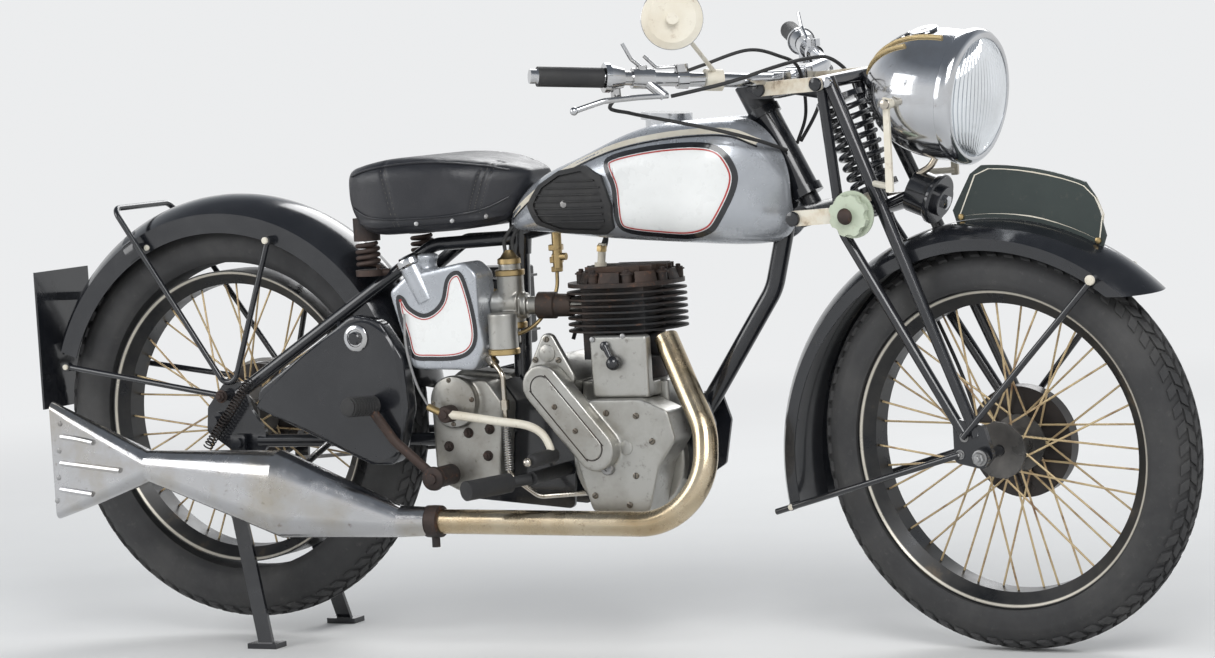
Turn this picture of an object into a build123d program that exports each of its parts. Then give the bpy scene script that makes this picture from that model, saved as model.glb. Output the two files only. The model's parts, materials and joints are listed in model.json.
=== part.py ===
from build123d import *
import math
import os

os.makedirs("parts", exist_ok=True)

# where the machine stands: x forward, y to its left, z up, millimetres
rear_axle_x = -650
rear_axle_z = 382
front_axle_x = 1395
front_axle_z = -60.5
steering_angle = 8.3
rake_angle = 27
steering_x = 1085
steering_z = 312
fit_gap = 0.3

# wheels
rim_radius = 254
front_tyre_height = 66
front_tyre_half_width = 44
front_tyre_radius = rim_radius + front_tyre_height
rear_tyre_height = 96
rear_tyre_half_width = 47
rear_tyre_radius = rim_radius + rear_tyre_height
rim_depth = 27
rim_wall = 3
spoke_count = 40
spoke_radius = 1.7
hub_radius = 24
hub_flange_radius = 44
hub_half_width = 36
axle_radius = 8.5
nut_radius = 15
brake_drum_radius = 88
sprocket_radius = 84

# frame
main_tube_radius = 15
stay_tube_radius = 11
thin_stay_radius = 5
head_tube_radius = 23
lug_wall = 4
lug_half_gap = 89
lug_thickness = 8


def at(x, y, z):
    return Vector(rear_axle_x + x, y, rear_axle_z + z)


def rod(start, end, radius, end_radius=None):
    base = at(*start)
    run = at(*end) - base
    place = Plane(origin=base, z_dir=run)
    if end_radius is None:
        return Solid.make_cylinder(radius, run.length, place)
    return Solid.make_cone(radius, end_radius, run.length, place)


def bent_rod(points, radius, bend):
    path = FilletPolyline(*[at(*point) for point in points], radius=bend)
    place = Plane(origin=path @ 0, z_dir=path % 0)
    return sweep(place * Circle(radius), path=path)


def disc(x, z, radius, left, right):
    return rod((x, left, z), (x, right, z), radius)


def slab(outline, left, right, corner=0):
    place = Plane(origin=at(0, left, 0), x_dir=(1, 0, 0), z_dir=(0, -1, 0))
    face = Polygon(*outline, align=None)
    if corner:
        face = fillet(face.vertices(), corner)
    return extrude(place * face, left - right, dir=(0, -1, 0))


def oblong(start, end, radius, left, right):
    run_x, run_z = end[0] - start[0], end[1] - start[1]
    middle = at(start[0] + run_x / 2, left, start[1] + run_z / 2)
    place = Plane(origin=middle, x_dir=(run_x, 0, run_z), z_dir=(0, -1, 0))
    face = SlotCenterToCenter(math.hypot(run_x, run_z), 2 * radius)
    return extrude(place * face, left - right, dir=(0, -1, 0))


def block(x_range, y_range, z_range, corner=0):
    size = [high - low for low, high in (x_range, y_range, z_range)]
    middle = [(high + low) / 2 for low, high in (x_range, y_range, z_range)]
    body = Pos(*at(*middle)) * Box(*size)
    if corner:
        body = fillet(body.edges(), corner)
    return body


def cross_section(x, half_width, low, high, corner, y=0):
    place = Plane(origin=at(x, y, (low + high) / 2), x_dir=(0, 1, 0), z_dir=(1, 0, 0))
    return place * RectangleRounded(2 * half_width, high - low, corner)


def coil(start, end, radius, wire_radius, turns):
    base = at(*start)
    run = at(*end) - base
    path = Helix(pitch=run.length / turns, height=run.length, radius=radius)
    turn = sweep(Plane(origin=path @ 0, z_dir=path % 0) * Circle(wire_radius), path=path, is_frenet=True)
    return Plane(origin=base, z_dir=run).location * turn


def around_axle(section, axle, start, sweep_angle):
    axis = Axis(at(axle[0], 0, axle[1]), (0, 1, 0))
    turned = section.rotate(axis, -start)
    return revolve(turned, axis=axis, revolution_arc=-sweep_angle)


def radial_plane(axle):
    return Plane(origin=at(axle[0], 0, axle[1]), x_dir=(0, 1, 0), z_dir=(1, 0, 0))


def joined(pieces):
    whole = pieces[0]
    for piece in pieces[1:]:
        whole = whole + piece
    return whole


def both_sides(make):
    return [make(side) for side in (-1, 1)]


steering_axis = Axis(
    at(steering_x, 0, steering_z),
    (-math.sin(math.radians(rake_angle)), 0, math.cos(math.radians(rake_angle))),
)


def on_axis(z):
    return steering_x - (z - steering_z) * math.tan(math.radians(rake_angle))


def steered(shape):
    return shape.rotate(steering_axis, -steering_angle)


nodes = {}


def save(shape, name):
    nodes[name] = shape


# tyres: a round section drawn with a few straight sides, on a flat foot at the rim
tread_sides = 6


def tyre(axle, radius, half_width, bead_half_width):
    crown = radius - half_width
    foot = rim_radius - rim_wall + fit_gap
    bead_reach = math.sqrt(half_width**2 - bead_half_width**2)
    bead = math.acos(min(bead_reach, crown - foot - rim_wall) / half_width)
    turns = [math.pi - bead - 2 * (math.pi - bead) * step / tread_sides for step in range(tread_sides + 1)]
    outline = [(half_width * math.sin(turn), crown + half_width * math.cos(turn)) for turn in turns]
    face = Polygon((outline[0][0], foot), *outline[1:-1], (outline[-1][0], foot), align=None)
    axis = Axis(at(axle[0], 0, axle[1]), (0, 1, 0))
    return revolve(radial_plane(axle) * face, axis=axis, revolution_arc=360)


# a wire wheel: rim, hub with two flanges and crossed spokes
def wire_wheel(axle, rim_half_width, hub_half):
    plane = radial_plane(axle)
    axis = Axis(at(axle[0], 0, axle[1]), (0, 1, 0))
    bottom = rim_radius - rim_depth
    rim_face = Polygon(
        (-rim_half_width, rim_radius - rim_wall - fit_gap),
        (-rim_half_width, rim_radius - 2 * rim_wall - fit_gap),
        (-rim_half_width * 0.55, bottom),
        (rim_half_width * 0.55, bottom),
        (rim_half_width, rim_radius - 2 * rim_wall - fit_gap),
        (rim_half_width, rim_radius - rim_wall - fit_gap),
        align=None,
    )
    rim = revolve(plane * rim_face, axis=axis, revolution_arc=360)
    centre = disc(*axle, hub_radius, hub_half, -hub_half)
    bore = disc(*axle, axle_radius + 2 * fit_gap, hub_half, -hub_half)
    flanges = [
        disc(*axle, hub_flange_radius, side * hub_half, side * (hub_half - 5)) for side in (-1, 1)
    ]
    spokes = []
    for index in range(spoke_count):
        side = 1 if index % 2 else -1
        lean = 9 if index % 4 < 2 else -9
        angle = math.radians(index * 360 / spoke_count)
        foot = math.radians(index * 360 / spoke_count + lean * 4)
        inner = hub_flange_radius - 5
        outer = bottom + 1
        start = (
            axle[0] + inner * math.cos(foot),
            side * (hub_half - 2.5),
            axle[1] + inner * math.sin(foot),
        )
        end = (
            axle[0] + outer * math.cos(angle),
            side * rim_half_width * 0.25,
            axle[1] + outer * math.sin(angle),
        )
        spokes.append(rod(start, end, spoke_radius))
    return rim.fuse(centre, *flanges, *spokes) - bore


rear_axle = (0, 0)
front_axle = (front_axle_x, front_axle_z)

rear_tyre = tyre(rear_axle, rear_tyre_radius, rear_tyre_half_width, 32)
front_tyre = tyre(front_axle, front_tyre_radius, front_tyre_half_width, 28)
save(rear_tyre, "rear_tyre")
save(steered(front_tyre), "front_tyre")

rear_drum = disc(*rear_axle, brake_drum_radius - 4, 58, hub_half_width)
sprocket = disc(*rear_axle, sprocket_radius, 68, 62)
drum_neck = disc(*rear_axle, 60, 62, 58)
rear_bore = disc(*rear_axle, axle_radius + 2 * fit_gap, 70, 30)
rear_wheel = wire_wheel(rear_axle, 38, hub_half_width) + (rear_drum + drum_neck + sprocket - rear_bore)
save(rear_wheel, "rear_wheel_spokes")

front_drum = disc(*front_axle, brake_drum_radius, 60, hub_half_width)
front_bore = disc(*front_axle, axle_radius + 2 * fit_gap, 70, 30)
front_wheel = wire_wheel(front_axle, 33, hub_half_width) + (front_drum - front_bore)
save(steered(front_wheel), "front_wheel_spokes")

# frame: head, top tube, down tube and seat tube
head_low = 338
head_high = 478
head_tube = rod((on_axis(head_low), 0, head_low), (on_axis(head_high), 0, head_high), head_tube_radius)
head_cups = [
    rod((on_axis(z), 0, z), (on_axis(z + 12), 0, z + 12), head_tube_radius + lug_wall)
    for z in (head_low, head_high - 12)
]
top_tube_front = (on_axis(392), 0, 392)
seat_lug = (552, 0, 296)
down_tube_top = (1046, 0, 352)
down_tube_knee = (1004, 0, 192)
down_tube_foot = (872, 0, 0)
seat_tube_foot = (538, 0, -30)
head_sleeves = [
    rod(top_tube_front, (960, 0, 374), main_tube_radius + lug_wall),
    rod(down_tube_top, (1042, 0, 338), main_tube_radius + lug_wall),
]
save(joined([head_tube] + head_cups + head_sleeves), "steering_head")
save(rod((959, 0, 374), seat_lug, main_tube_radius), "top_tube")
front_down_tube = bent_rod([down_tube_top, down_tube_knee, down_tube_foot], main_tube_radius, 90)
save(front_down_tube, "down_tube")
seat_tube = rod(seat_lug, seat_tube_foot, main_tube_radius)
seat_sleeve = rod((554, 0, 312), (549, 0, 262), main_tube_radius + lug_wall)
save(joined([seat_tube, seat_sleeve]), "seat_tube")

# engine plates, front and rear
front_plate_outline = [(884, 34), (852, 24), (828, -40), (846, -118), (888, -92), (902, -20)]
rear_plate_outline = [(652, -2), (545, 62), (420, 20), (405, -66), (440, -140), (640, -158)]
plate_faces = [(-34, -28), (28, 34)]
engine_plates = [
    slab(outline, left, right, 10)
    for outline in (front_plate_outline, rear_plate_outline)
    for right, left in plate_faces
]
cross_bolts = [
    disc(x, z, 7, 42, -42) for x, z in ((874, -2), (868, -88), (538, -24), (432, -40), (440, -112))
]
save(joined(engine_plates + cross_bolts), "engine_plates")

# stays from the seat lug and the gearbox bracket to the rear lugs
lug_outline = [(-24, -20), (-20, 22), (14, 62), (52, 66), (66, 18), (92, -18), (92, -52), (36, -60)]
axle_lugs = both_sides(
    lambda side: slab(
        lug_outline,
        side * lug_half_gap + lug_thickness / 2,
        side * lug_half_gap - lug_thickness / 2,
        9,
    )
)
chain_stays = both_sides(
    lambda side: rod((432, side * 46, -40), (76, side * 86, -36), stay_tube_radius)
)
seat_stays = both_sides(
    lambda side: bent_rod(
        [(40, side * 86, 44), (356, side * 66, 244), (420, side * 54, 284), (548, side * 17, 288)],
        stay_tube_radius,
        40,
    )
)
rear_axle_pin = disc(0, 0, axle_radius, 112, -112)
rear_nuts = both_sides(lambda side: disc(0, 0, nut_radius, side * 97 + 5, side * 97 - 5))
save(joined(axle_lugs + chain_stays + [rear_axle_pin] + rear_nuts), "chain_stays")
save(Compound(seat_stays), "seat_stays")

# fuel tank: x, half width, underside, top, corner
tank_sections = [
    (563, 48, 303, 332, 12),
    (606, 80, 300, 372, 30),
    (672, 110, 294, 405, 50),
    (770, 133, 284, 442, 64),
    (880, 138, 275, 467, 72),
    (965, 124, 268, 468, 74),
    (1020, 82, 268, 450, 62),
    (1046, 56, 280, 416, 42),
    (1058, 40, 304, 380, 30),
]


def tank_skin(extra):
    return loft([cross_section(x, half + extra, low, high, corner) for x, half, low, high, corner in tank_sections])


tank_body = tank_skin(0)
tunnel_half_width = main_tube_radius + lug_wall + fit_gap
tunnel = slab([(540, 200), (1100, 200), (1100, 422), (980, 404), (540, 322)], tunnel_half_width, -tunnel_half_width)
head_clearance = rod((on_axis(200), 0, 200), (on_axis(520), 0, 520), 38)
save(tank_body - tunnel - head_clearance, "fuel_tank")
cap_x = 830
cap_z = 454
cap_radius = 42
cap_neck = rod((cap_x, 0, cap_z - 8), (cap_x + 1, 0, cap_z + 15), cap_radius - 8)
cap_lid = rod((cap_x + 1, 0, cap_z + 15), (cap_x + 2, 0, cap_z + 27), cap_radius)
save((cap_neck - tank_body) + cap_lid, "tank_cap")

# knee pads: a thin rubber field with a raised rim, lying on the tank's side
knee_outline = [(616, 344), (640, 376), (682, 398), (741, 406), (776, 388), (792, 340), (786, 304), (764, 293), (675, 297), (631, 312)]
knee_rim = 8
knee_thickness = 4
knee_rim_thickness = 8


def knee_pad(side):
    left, right = sorted((side * 60, side * 160), reverse=True)
    whole = slab(knee_outline, left, right, 6)
    middle_x = sum(x for x, z in knee_outline) / len(knee_outline)
    middle_z = sum(z for x, z in knee_outline) / len(knee_outline)
    share = 1 - 2 * knee_rim / 110
    inner_outline = [(middle_x + (x - middle_x) * share, middle_z + (z - middle_z) * share) for x, z in knee_outline]
    rim = whole - slab(inner_outline, left + 1, right - 1, 6)
    return (whole & tank_skin(knee_thickness)) + (rim & tank_skin(knee_rim_thickness))


save(Compound(both_sides(knee_pad)), "knee_pads")

# saddle: x, half width, underside, top, corner
saddle_sections = [
    (298, 112, 372, 410, 16),
    (310, 126, 332, 417, 24),
    (342, 138, 308, 424, 30),
    (405, 139, 306, 431, 34),
    (470, 130, 307, 428, 34),
    (528, 106, 312, 420, 32),
    (562, 80, 324, 412, 28),
    (588, 54, 358, 404, 20),
    (598, 38, 380, 398, 8),
]
save(loft([cross_section(*row) for row in saddle_sections]), "saddle")
spring_x = 314
spring_half_gap = 92
spring_low = 252
spring_high = 292


def saddle_spring(side):
    y = side * spring_half_gap
    return coil((spring_x, y, spring_low), (spring_x, y, spring_high), 17, 3.6, 4)


def spring_plate(side):
    y = side * spring_half_gap
    plate = rod((spring_x, y, spring_low - 14), (spring_x, y, spring_low - 4), 22)
    arm = rod((spring_x, y, spring_low - 10), (spring_x + 32, side * 64, spring_low - 10), 6)
    return plate + arm


def spring_cap(side):
    y = side * spring_half_gap
    return rod((spring_x, y, spring_high + 4), (spring_x, y, spring_high + 42), 22)


save(
    Compound(both_sides(saddle_spring) + [joined(both_sides(spring_plate))] + both_sides(spring_cap)),
    "saddle_springs",
)

# oil tank and battery, either side of the seat tube
oil_outline = [(366, 212), (398, 238), (509, 258), (531, 238), (531, 160), (538, 116), (518, 80), (402, 84)]
oil_tank = slab(oil_outline, -60, -124, 12)
oil_neck = rod((424, -98, 236), (424, -98, 262), 19)
oil_cap = rod((424, -98, 262), (424, -98, 272), 23)
save(joined([oil_tank, oil_neck, oil_cap]), "oil_tank")
battery = block((402, 512), (58, 118), (104, 236), 6)
save(battery, "battery")
tank_brackets = [
    block((506, 536), (-60, -4), (z, z + 4)) for z in (130, 220)
] + [block((490, 548), (4, 58), (z, z + 4)) for z in (130, 220)]
save(Compound(tank_brackets), "tank_brackets")

# engine
crank_x = 752
crank_z = -72
crankcase_radius = 108
crankcase = joined([
    disc(crank_x, crank_z, crankcase_radius, 27.6, -27.6),
    disc(crank_x, crank_z, crankcase_radius - 8, 52, -52),
    block((crank_x - 78, crank_x + 78), (-50, 50), (0, 54)),
])
save(crankcase, "crankcase")
timing_outline = [
    (706, 8), (720, 29.7), (812, 29.7), (858, 10), (870, -36), (838, -78), (818, -154), (716, -152), (692, -70),
]
timing_chest = slab(timing_outline, -52, -118, 12)
mag_drive_cover = oblong((649, 56), (738, -49), 34, -112, -146)
save(joined([timing_chest, mag_drive_cover]), "timing_cover")
magneto_x = 640
magneto_z = 60
magneto = joined([
    disc(magneto_x, magneto_z, 38, 62, -100),
    disc(magneto_x, magneto_z, 30, 73, 62),
    slab([(647, 152), (601, 62), (704, 50)], -98, -111.7, 13),
])
save(magneto, "magneto")
barrel_x = 743
barrel_y = -3
fin_width = 190
fin_depth = 180
fin_corner = 80
fin_thickness = 3
fin_low = 134
fin_count = 7
head_z = 206
fin_pitch = (head_z - fin_low) / fin_count
barrel_fins = [
    Pos(*at(barrel_x, barrel_y, fin_low + row * fin_pitch))
    * extrude(RectangleRounded(fin_width, fin_depth, fin_corner), fin_thickness)
    for row in range(fin_count)
]
barrel_core = rod((barrel_x, 0, 54), (barrel_x, 0, head_z), 58)
valve_block = block((694, 806), (-72, -20), (90, head_z))
exhaust_port = rod((796, -40, 112), (838, -57, 112), 20)
save(joined([barrel_core, valve_block, exhaust_port] + barrel_fins), "barrel")

# cylinder head: studs in pockets round a low dome with ribs on top
dome_x = 750
dome_radius = 82
dome_top = 230
stud_ring = 79
stud_count = 8
head_flange = Pos(*at(barrel_x, barrel_y, head_z)) * extrude(
    RectangleRounded(fin_width - 4, fin_depth - 6, fin_corner - 2), 7
)
head_dome = rod((dome_x, barrel_y, head_z + 7), (dome_x, barrel_y, dome_top), dome_radius, dome_radius - 5)
head_ribs = [
    block((dome_x - reach, dome_x + reach), (barrel_y + offset, barrel_y + offset + 4), (head_z + 8, dome_top + 8))
    for offset, reach in ((-58, 46), (-42, 60), (-26, 68), (-10, 72), (6, 72), (22, 68), (38, 60), (54, 46))
]
stud_angles = [math.radians(360 / stud_count * (index + 0.5)) for index in range(stud_count)]
stud_places = [
    (dome_x + stud_ring * math.cos(angle), barrel_y + stud_ring * math.sin(angle)) for angle in stud_angles
]
stud_pockets = [rod((x, y, head_z + 7), (x, y, dome_top + 20), 13) for x, y in stud_places]
stud_nuts = [rod((x, y, head_z + 6), (x, y, head_z + 22), 8) for x, y in stud_places]
cylinder_head = joined([head_flange, head_dome] + head_ribs)
for pocket in stud_pockets:
    cylinder_head = cylinder_head - pocket
save(joined([cylinder_head] + stud_nuts), "cylinder_head")
plug_base = (711, -30, dome_top - 6)
plug_top = (717, -30, 275)
save(joined([rod(plug_base, plug_top, 6.5), rod(plug_base, (712, -30, dome_top + 14), 10)]), "spark_plug")
tappet_chest = joined([
    block((717, 818), (-98, -76 - fit_gap), (30, 130), 4),
    block((717, 818), (-76 - fit_gap, -40), (31, 54)),
])
save(tappet_chest, "tappet_chest")
carb_x = 560
carb_y = -60
carburettor = joined([
    rod((carb_x, carb_y, 142), (carb_x, carb_y, 236), 22),
    rod((carb_x, carb_y, 236), (carb_x, carb_y, 250), 18),
    rod((carb_x, carb_y, 118), (carb_x, carb_y, 142), 12),
    rod((carb_x - 28, carb_y, 182), (carb_x + 20, carb_y, 182), 24),
    rod((carb_x + 20, carb_y, 180), (708, -40, 176), 15),
    rod((carb_x + 20, carb_y, 180), (carb_x + 30, carb_y + 2, 180), 21),
    rod((carb_x + 6, carb_y - 46, 104), (carb_x + 6, carb_y - 46, 172), 24),
    rod((carb_x, carb_y, 128), (carb_x + 6, carb_y - 46, 128), 8),
])
save(carburettor, "carburettor")
petrol_tap = joined([
    rod((636, -34, 238), (636, -34, 300), 8),
    rod((628, -34, 256), (652, -34, 256), 6),
])
save(petrol_tap, "petrol_tap")

# gearbox, primary drive and rear chain
gearbox_x = 460
gearbox = joined([
    slab([(404, 50), (440, 74), (530, 66), (560, 20), (545, -120), (470, -136), (410, -110)], 27.6, -27.6, 14),
    slab([(410, 40), (440, 66), (515, 60), (545, 20), (530, -112), (470, -130), (414, -104)], -34.4, -84, 14),
    disc(gearbox_x, 27, 42, -84, -94),
    disc(gearbox_x, -20, 30, 62, 27),
])
save(gearbox, "gearbox")
case_outline = [(424, 60), (500, 76), (790, 20), (822, -60), (790, -150), (700, -158), (480, -118), (410, -80), (392, 0)]
primary_case = slab(case_outline, 118, 76, 34) + disc(gearbox_x, -20, 82, 128, 118) + disc(crank_x, crank_z, 34, 78, 52)
save(primary_case, "primary_case")
chain_half_thickness = 4
drive_sprocket_radius = 34


def chain_band(outer_extra):
    big = disc(0, 0, sprocket_radius + outer_extra, 70, 60)
    small = disc(gearbox_x, -20, drive_sprocket_radius + outer_extra, 70, 60)
    reach = [(0, sprocket_radius), (gearbox_x, drive_sprocket_radius)]
    lift = outer_extra
    web = slab(
        [
            (8, sprocket_radius + lift),
            (gearbox_x + 4, -20 + drive_sprocket_radius + lift),
            (gearbox_x + 2, -20 - drive_sprocket_radius - lift),
            (4, -sprocket_radius - lift),
        ],
        70,
        60,
    )
    return big + small + web


save(chain_band(7) - chain_band(1), "drive_chain")

# exhaust and silencer: x, half width, low, high, corner
pipe_radius = 20
pipe_bend = 104
pipe_route = [
    (834, -56, 122),
    (924, -118, -20),
    (938, -164, -165),
    (440, -172, -160),
]
save(bent_rod(pipe_route, pipe_radius, pipe_bend), "exhaust_pipe")
silencer_y = -200
silencer_sections = [
    (446, 24, -183, -136, 23, -176),
    (398, 26, -185, -134, 25, -178),
    (187, 45, -184, -39, 44, -200),
    (-72, 25, -91, -38, 24, -200),
]
tail_sections = [
    (-72, 25, -91, -38, 24, -200),
    (-150, 21, -118, -4, 20, -200),
    (-262, 13, -154, 46, 12, -200),
]
silencer_body = loft([cross_section(*row) for row in silencer_sections], ruled=True)
silencer_tail = loft([cross_section(*row) for row in tail_sections])
pipe_hole = rod(pipe_route[-2], pipe_route[-1], pipe_radius + fit_gap)
tail_slot = block((-270, -236), (silencer_y - 10, silencer_y + 10), (-140, 30))
silencer_strap = rod((209, -174, -70), (209, -71, -38), 6)
save((silencer_body + silencer_tail) - pipe_hole - tail_slot + silencer_strap, "silencer")

# toolbox on the right, footrests and pedals
toolbox_outline = [(80, 36), (300, 177), (352, 166), (392, 104), (398, 20), (370, -74), (320, -72)]
toolbox_knob = disc(310, 138, 12, -138, -146)
toolbox_brackets = [rod((256, -108, 134), (240, -75, 168), 5), rod((282, -108, -44), (282, -64, -38), 5)]
save(joined([slab(toolbox_outline, -106, -138, 26), toolbox_knob] + toolbox_brackets), "toolbox")


def footrest(side):
    return joined([
        rod((630, side * 34.3, -92), (630, side * 160, -92), 11),
        rod((630, side * 158, -92), (596, side * 176, -97), 9),
        rod((596, side * 172, -97), (560, side * 252, -100), 16),
    ])


save(Compound([footrest(-1), footrest(1)]), "footrests")
kick_lever = joined([
    disc(441, -94, 17, -84.3, -140),
    bent_rod([(441, -136, -94), (376, -152, -30), (340, -160, 24)], 8, 20),
    rod((340, -150, 28), (328, -212, 32), 13),
])
save(kick_lever, "kick_lever")
gear_lever = joined([
    disc(459, 9, 14, -94.3, -116),
    bent_rod([(459, -112, 9), (554, -122, -2), (630, -130, -12), (656, -136, -56)], 6, 20),
    disc(656, -58, 11, -132, -158),
])
save(gear_lever, "gear_lever")
brake_pedal = joined([
    disc(612, -60, 13, 118, 152),
    bent_rod([(612, 140, -60), (700, 146, -66), (796, 160, -30)], 7, 40),
    disc(800, -28, 15, 200, 150),
])
save(brake_pedal, "brake_pedal")

# rear mudguard and its stays
guard_wall = 2


def guard_section(axle, crown, shoulder, lip, half_width):
    outer = Polyline((-half_width, lip), (-half_width, shoulder))
    roof = ThreePointArc((-half_width, shoulder), (0, crown), (half_width, shoulder))
    drop = Polyline((half_width, shoulder), (half_width, lip), (half_width - guard_wall, lip),
                    (half_width - guard_wall, shoulder))
    ceiling = ThreePointArc((half_width - guard_wall, shoulder), (0, crown - guard_wall),
                            (guard_wall - half_width, shoulder))
    close = Polyline((guard_wall - half_width, shoulder), (guard_wall - half_width, lip), (-half_width, lip))
    return radial_plane(axle) * make_face(outer + roof + drop + ceiling + close)


rear_guard_crown = 380
rear_guard_lip = 317
rear_guard_section = guard_section(rear_axle, rear_guard_crown, 350, rear_guard_lip, 72)
rear_guard = around_axle(rear_guard_section, rear_axle, -83, 153)
save(rear_guard, "rear_guard")

# front mudguard: a wider circle than the tyre, its front end cut level into a point
guard_centre = (front_axle_x - 3, front_axle_z - 38)
guard_crown = 394
guard_half_width = 60
guard_tip_z = 180
front_guard_section = guard_section(guard_centre, guard_crown, 370, 352, guard_half_width)
front_guard = around_axle(front_guard_section, guard_centre, -58, 157)
tip_cut = block((1500, 1800), (-100, 100), (-100, guard_tip_z))
save(steered(front_guard - tip_cut), "front_guard")

# rear lifting handle, bent in one from its bolt on one side of the guard to the other
handle_radius = 5
handle_half = [(113, 80, 302), (34, 99, 42), (-188, 88, 366)]
handle_route = [(x, -y, z) for x, y, z in handle_half] + handle_half[::-1]
handle = bent_rod(handle_route, handle_radius, 18)


def guard_stay(side):
    return joined([
        rod((18, side * 101, 42), (-314, side * 76, 94), handle_radius),
        disc(18, 42, 9, side * 107, side * (lug_half_gap + lug_thickness / 2 + fit_gap)),
        disc(-314, 94, 8, side * 82, side * 71),
        disc(113, 302, 8, side * 86, side * 71),
        disc(-148, 299, 6, side * 88, side * 71),
    ])


save(joined([handle, guard_stay(-1), guard_stay(1)]), "guard_stays")
plate_x = -366
plate_thickness = 4
tail_plate = block((plate_x - plate_thickness, plate_x), (-80, 80), (20, 260))
tail_lamp = rod((plate_x - plate_thickness, 0, 228), (plate_x - 46, 0, 228), 20)


def guard_back(z):
    return -math.sqrt(rear_guard_crown**2 - z**2) - fit_gap


tail_arms = [
    slab([(plate_x, z - 14), (guard_back(z - 14), z - 14), (guard_back(z), z), (plate_x, z)], 12, -12)
    for z in (220, 124)
]
save(joined([tail_plate, tail_lamp] + tail_arms), "tail_plate")

# rear stand: a bent strip on each side, on the lower bolts of the rear lugs
stand_pivot = (44, -38)
stand_half_gap = 103
stand_foot_z = -rear_axle_z


def stand_leg(side):
    inner = side * (stand_half_gap - 4)
    outer = inner + side * 7
    arm = slab(
        [(30, -24), (58, -24), (54, -90), (48, -168), (20, -168), (28, -90)],
        max(inner, outer),
        min(inner, outer),
        5,
    )
    knee = at(34, side * (stand_half_gap - 0.5), -156)
    heel = at(34, side * 130, stand_foot_z + 4)
    fall = heel - knee
    forward = Vector(1, 0, 0)
    strip_plane = Plane(origin=knee, x_dir=forward, z_dir=forward.cross(fall.normalized()))
    strip = Polygon((-14, 0), (14, 0), (70, fall.length), (42, fall.length), align=None)
    shin = extrude(strip_plane * strip, 3.5, both=True)
    foot = block((62, 118), (side * 130 - 17, side * 130 + 17), (stand_foot_z, stand_foot_z + 9))
    bolt = disc(*stand_pivot, 9, side * (stand_half_gap + 8), side * (lug_half_gap + lug_thickness / 2 + fit_gap))
    return joined([arm, shin, foot, bolt])


save(Compound([stand_leg(-1), stand_leg(1)]), "rear_stand")

# girder fork
fork_top = (1150, 520)
fork_low = (1206, 318)
fork_low_centre = (1206, 0, 318)
spring_head = (1143, 0, 493)
spring_foot = (1195, 0, 343)
spring_length = math.dist(spring_head, spring_foot)


def spring_point(distance):
    share = distance / spring_length
    return tuple(a + (b - a) * share for a, b in zip(spring_head, spring_foot))


column_top = (1049, 516)
column_low = (1098, 313)


def fork_side(side):
    blade = rod((1160, side * 58, 526), (1386, side * 86, -30), 11, 9)
    rear_blade = bent_rod(
        [(1146, side * 58, 522), (1172, side * 74, 290), (1362, side * 86, -24)],
        8.5,
        60,
    )
    tip = slab([(1348, 0), (1400, -12), (1414, -60), (1396, -80), (1346, -70)], side * 86 + 5, side * 86 - 5, 10)
    return [blade, rear_blade, tip]


fork_bridges = [
    disc(*fork_top, 11, 71.7, -71.7),
    disc(*fork_low, 13, 85.2, -85.2),
    rod(spring_point(spring_length + fit_gap), fork_low_centre, 12),
]
brake_arm = slab([(1400, -47), (1400, -74), (1296, -46), (1294, -26), (1304, -24)], 72, 66)
front_axle_pin = disc(*front_axle, axle_radius, 108, -108)
front_nuts = both_sides(lambda side: disc(*front_axle, nut_radius, side * 97 + 5, side * 97 - 5))
save(steered(joined(fork_side(-1) + fork_side(1) + fork_bridges + [front_axle_pin, brake_arm] + front_nuts)), "girder_fork")


def link(start, end, y, half_height, thickness):
    body = slab(
        [
            (start[0], start[1] + half_height),
            (start[0], start[1] - half_height),
            (end[0], end[1] - half_height),
            (end[0], end[1] + half_height),
        ],
        y + thickness / 2,
        y - thickness / 2,
    )
    ends = [disc(*point, half_height, y + thickness / 2, y - thickness / 2) for point in (start, end)]
    return joined([body] + ends)


links = [link(column_top, fork_top, side * 76, 11, 8) for side in (-1, 1)]
links += [link(column_low, fork_low, side * 90, 12, 9) for side in (-1, 1)]
spindles = [
    disc(*column_top, 8, 84, -84),
    disc(*column_low, 9, 96, -96),
    disc(*column_top, 17, 60, -60),
    disc(*column_low, 17, 70, -70),
]
top_lug = joined([
    rod((on_axis(head_high + fit_gap), 0, head_high + fit_gap), (on_axis(520), 0, 520), 24),
    block((990, 1049), (-24, 24), (496, 530)),
    rod((1049, 0, 511), (1141, 0, 495), 10),
])
bottom_lug = rod((on_axis(head_low - fit_gap), 0, head_low - fit_gap), (on_axis(300), 0, 300), 15)
save(steered(joined(links + spindles + [top_lug, bottom_lug])), "fork_links")
seat_height = 9
wire_radius = 4.5
spring_turns = 8
coil_start = seat_height + wire_radius + fit_gap
fork_spring = coil(spring_point(coil_start), spring_point(spring_length - coil_start), 33, wire_radius, spring_turns)
spring_seats = [
    rod(spring_head, spring_point(seat_height), 38),
    rod(spring_point(spring_length - seat_height), spring_foot, 38),
]
save(steered(Compound([fork_spring] + spring_seats)), "fork_spring")
damper = joined([
    disc(*fork_low, 37, -95, -98),
    disc(*fork_low, 12, -98, -103),
    disc(*fork_low, 33, -103, -114),
    disc(*fork_low, 9, -114, -122),
])
for index in range(8):
    turn = math.radians(index * 45)
    notch = (fork_low[0] + 40 * math.cos(turn), fork_low[1] + 40 * math.sin(turn))
    damper = damper - disc(*notch, 11, -99, -118)
save(steered(damper), "damper_knob")

# handlebar, controls and mirror
bar_radius = 11.1
grip_radius = 15.5
bar_knee = (1048, 127, 535)
bar_tip = (826, 388, 578)
bar_centre_z = 523
grip_share = (0.655, 0.955)


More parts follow.
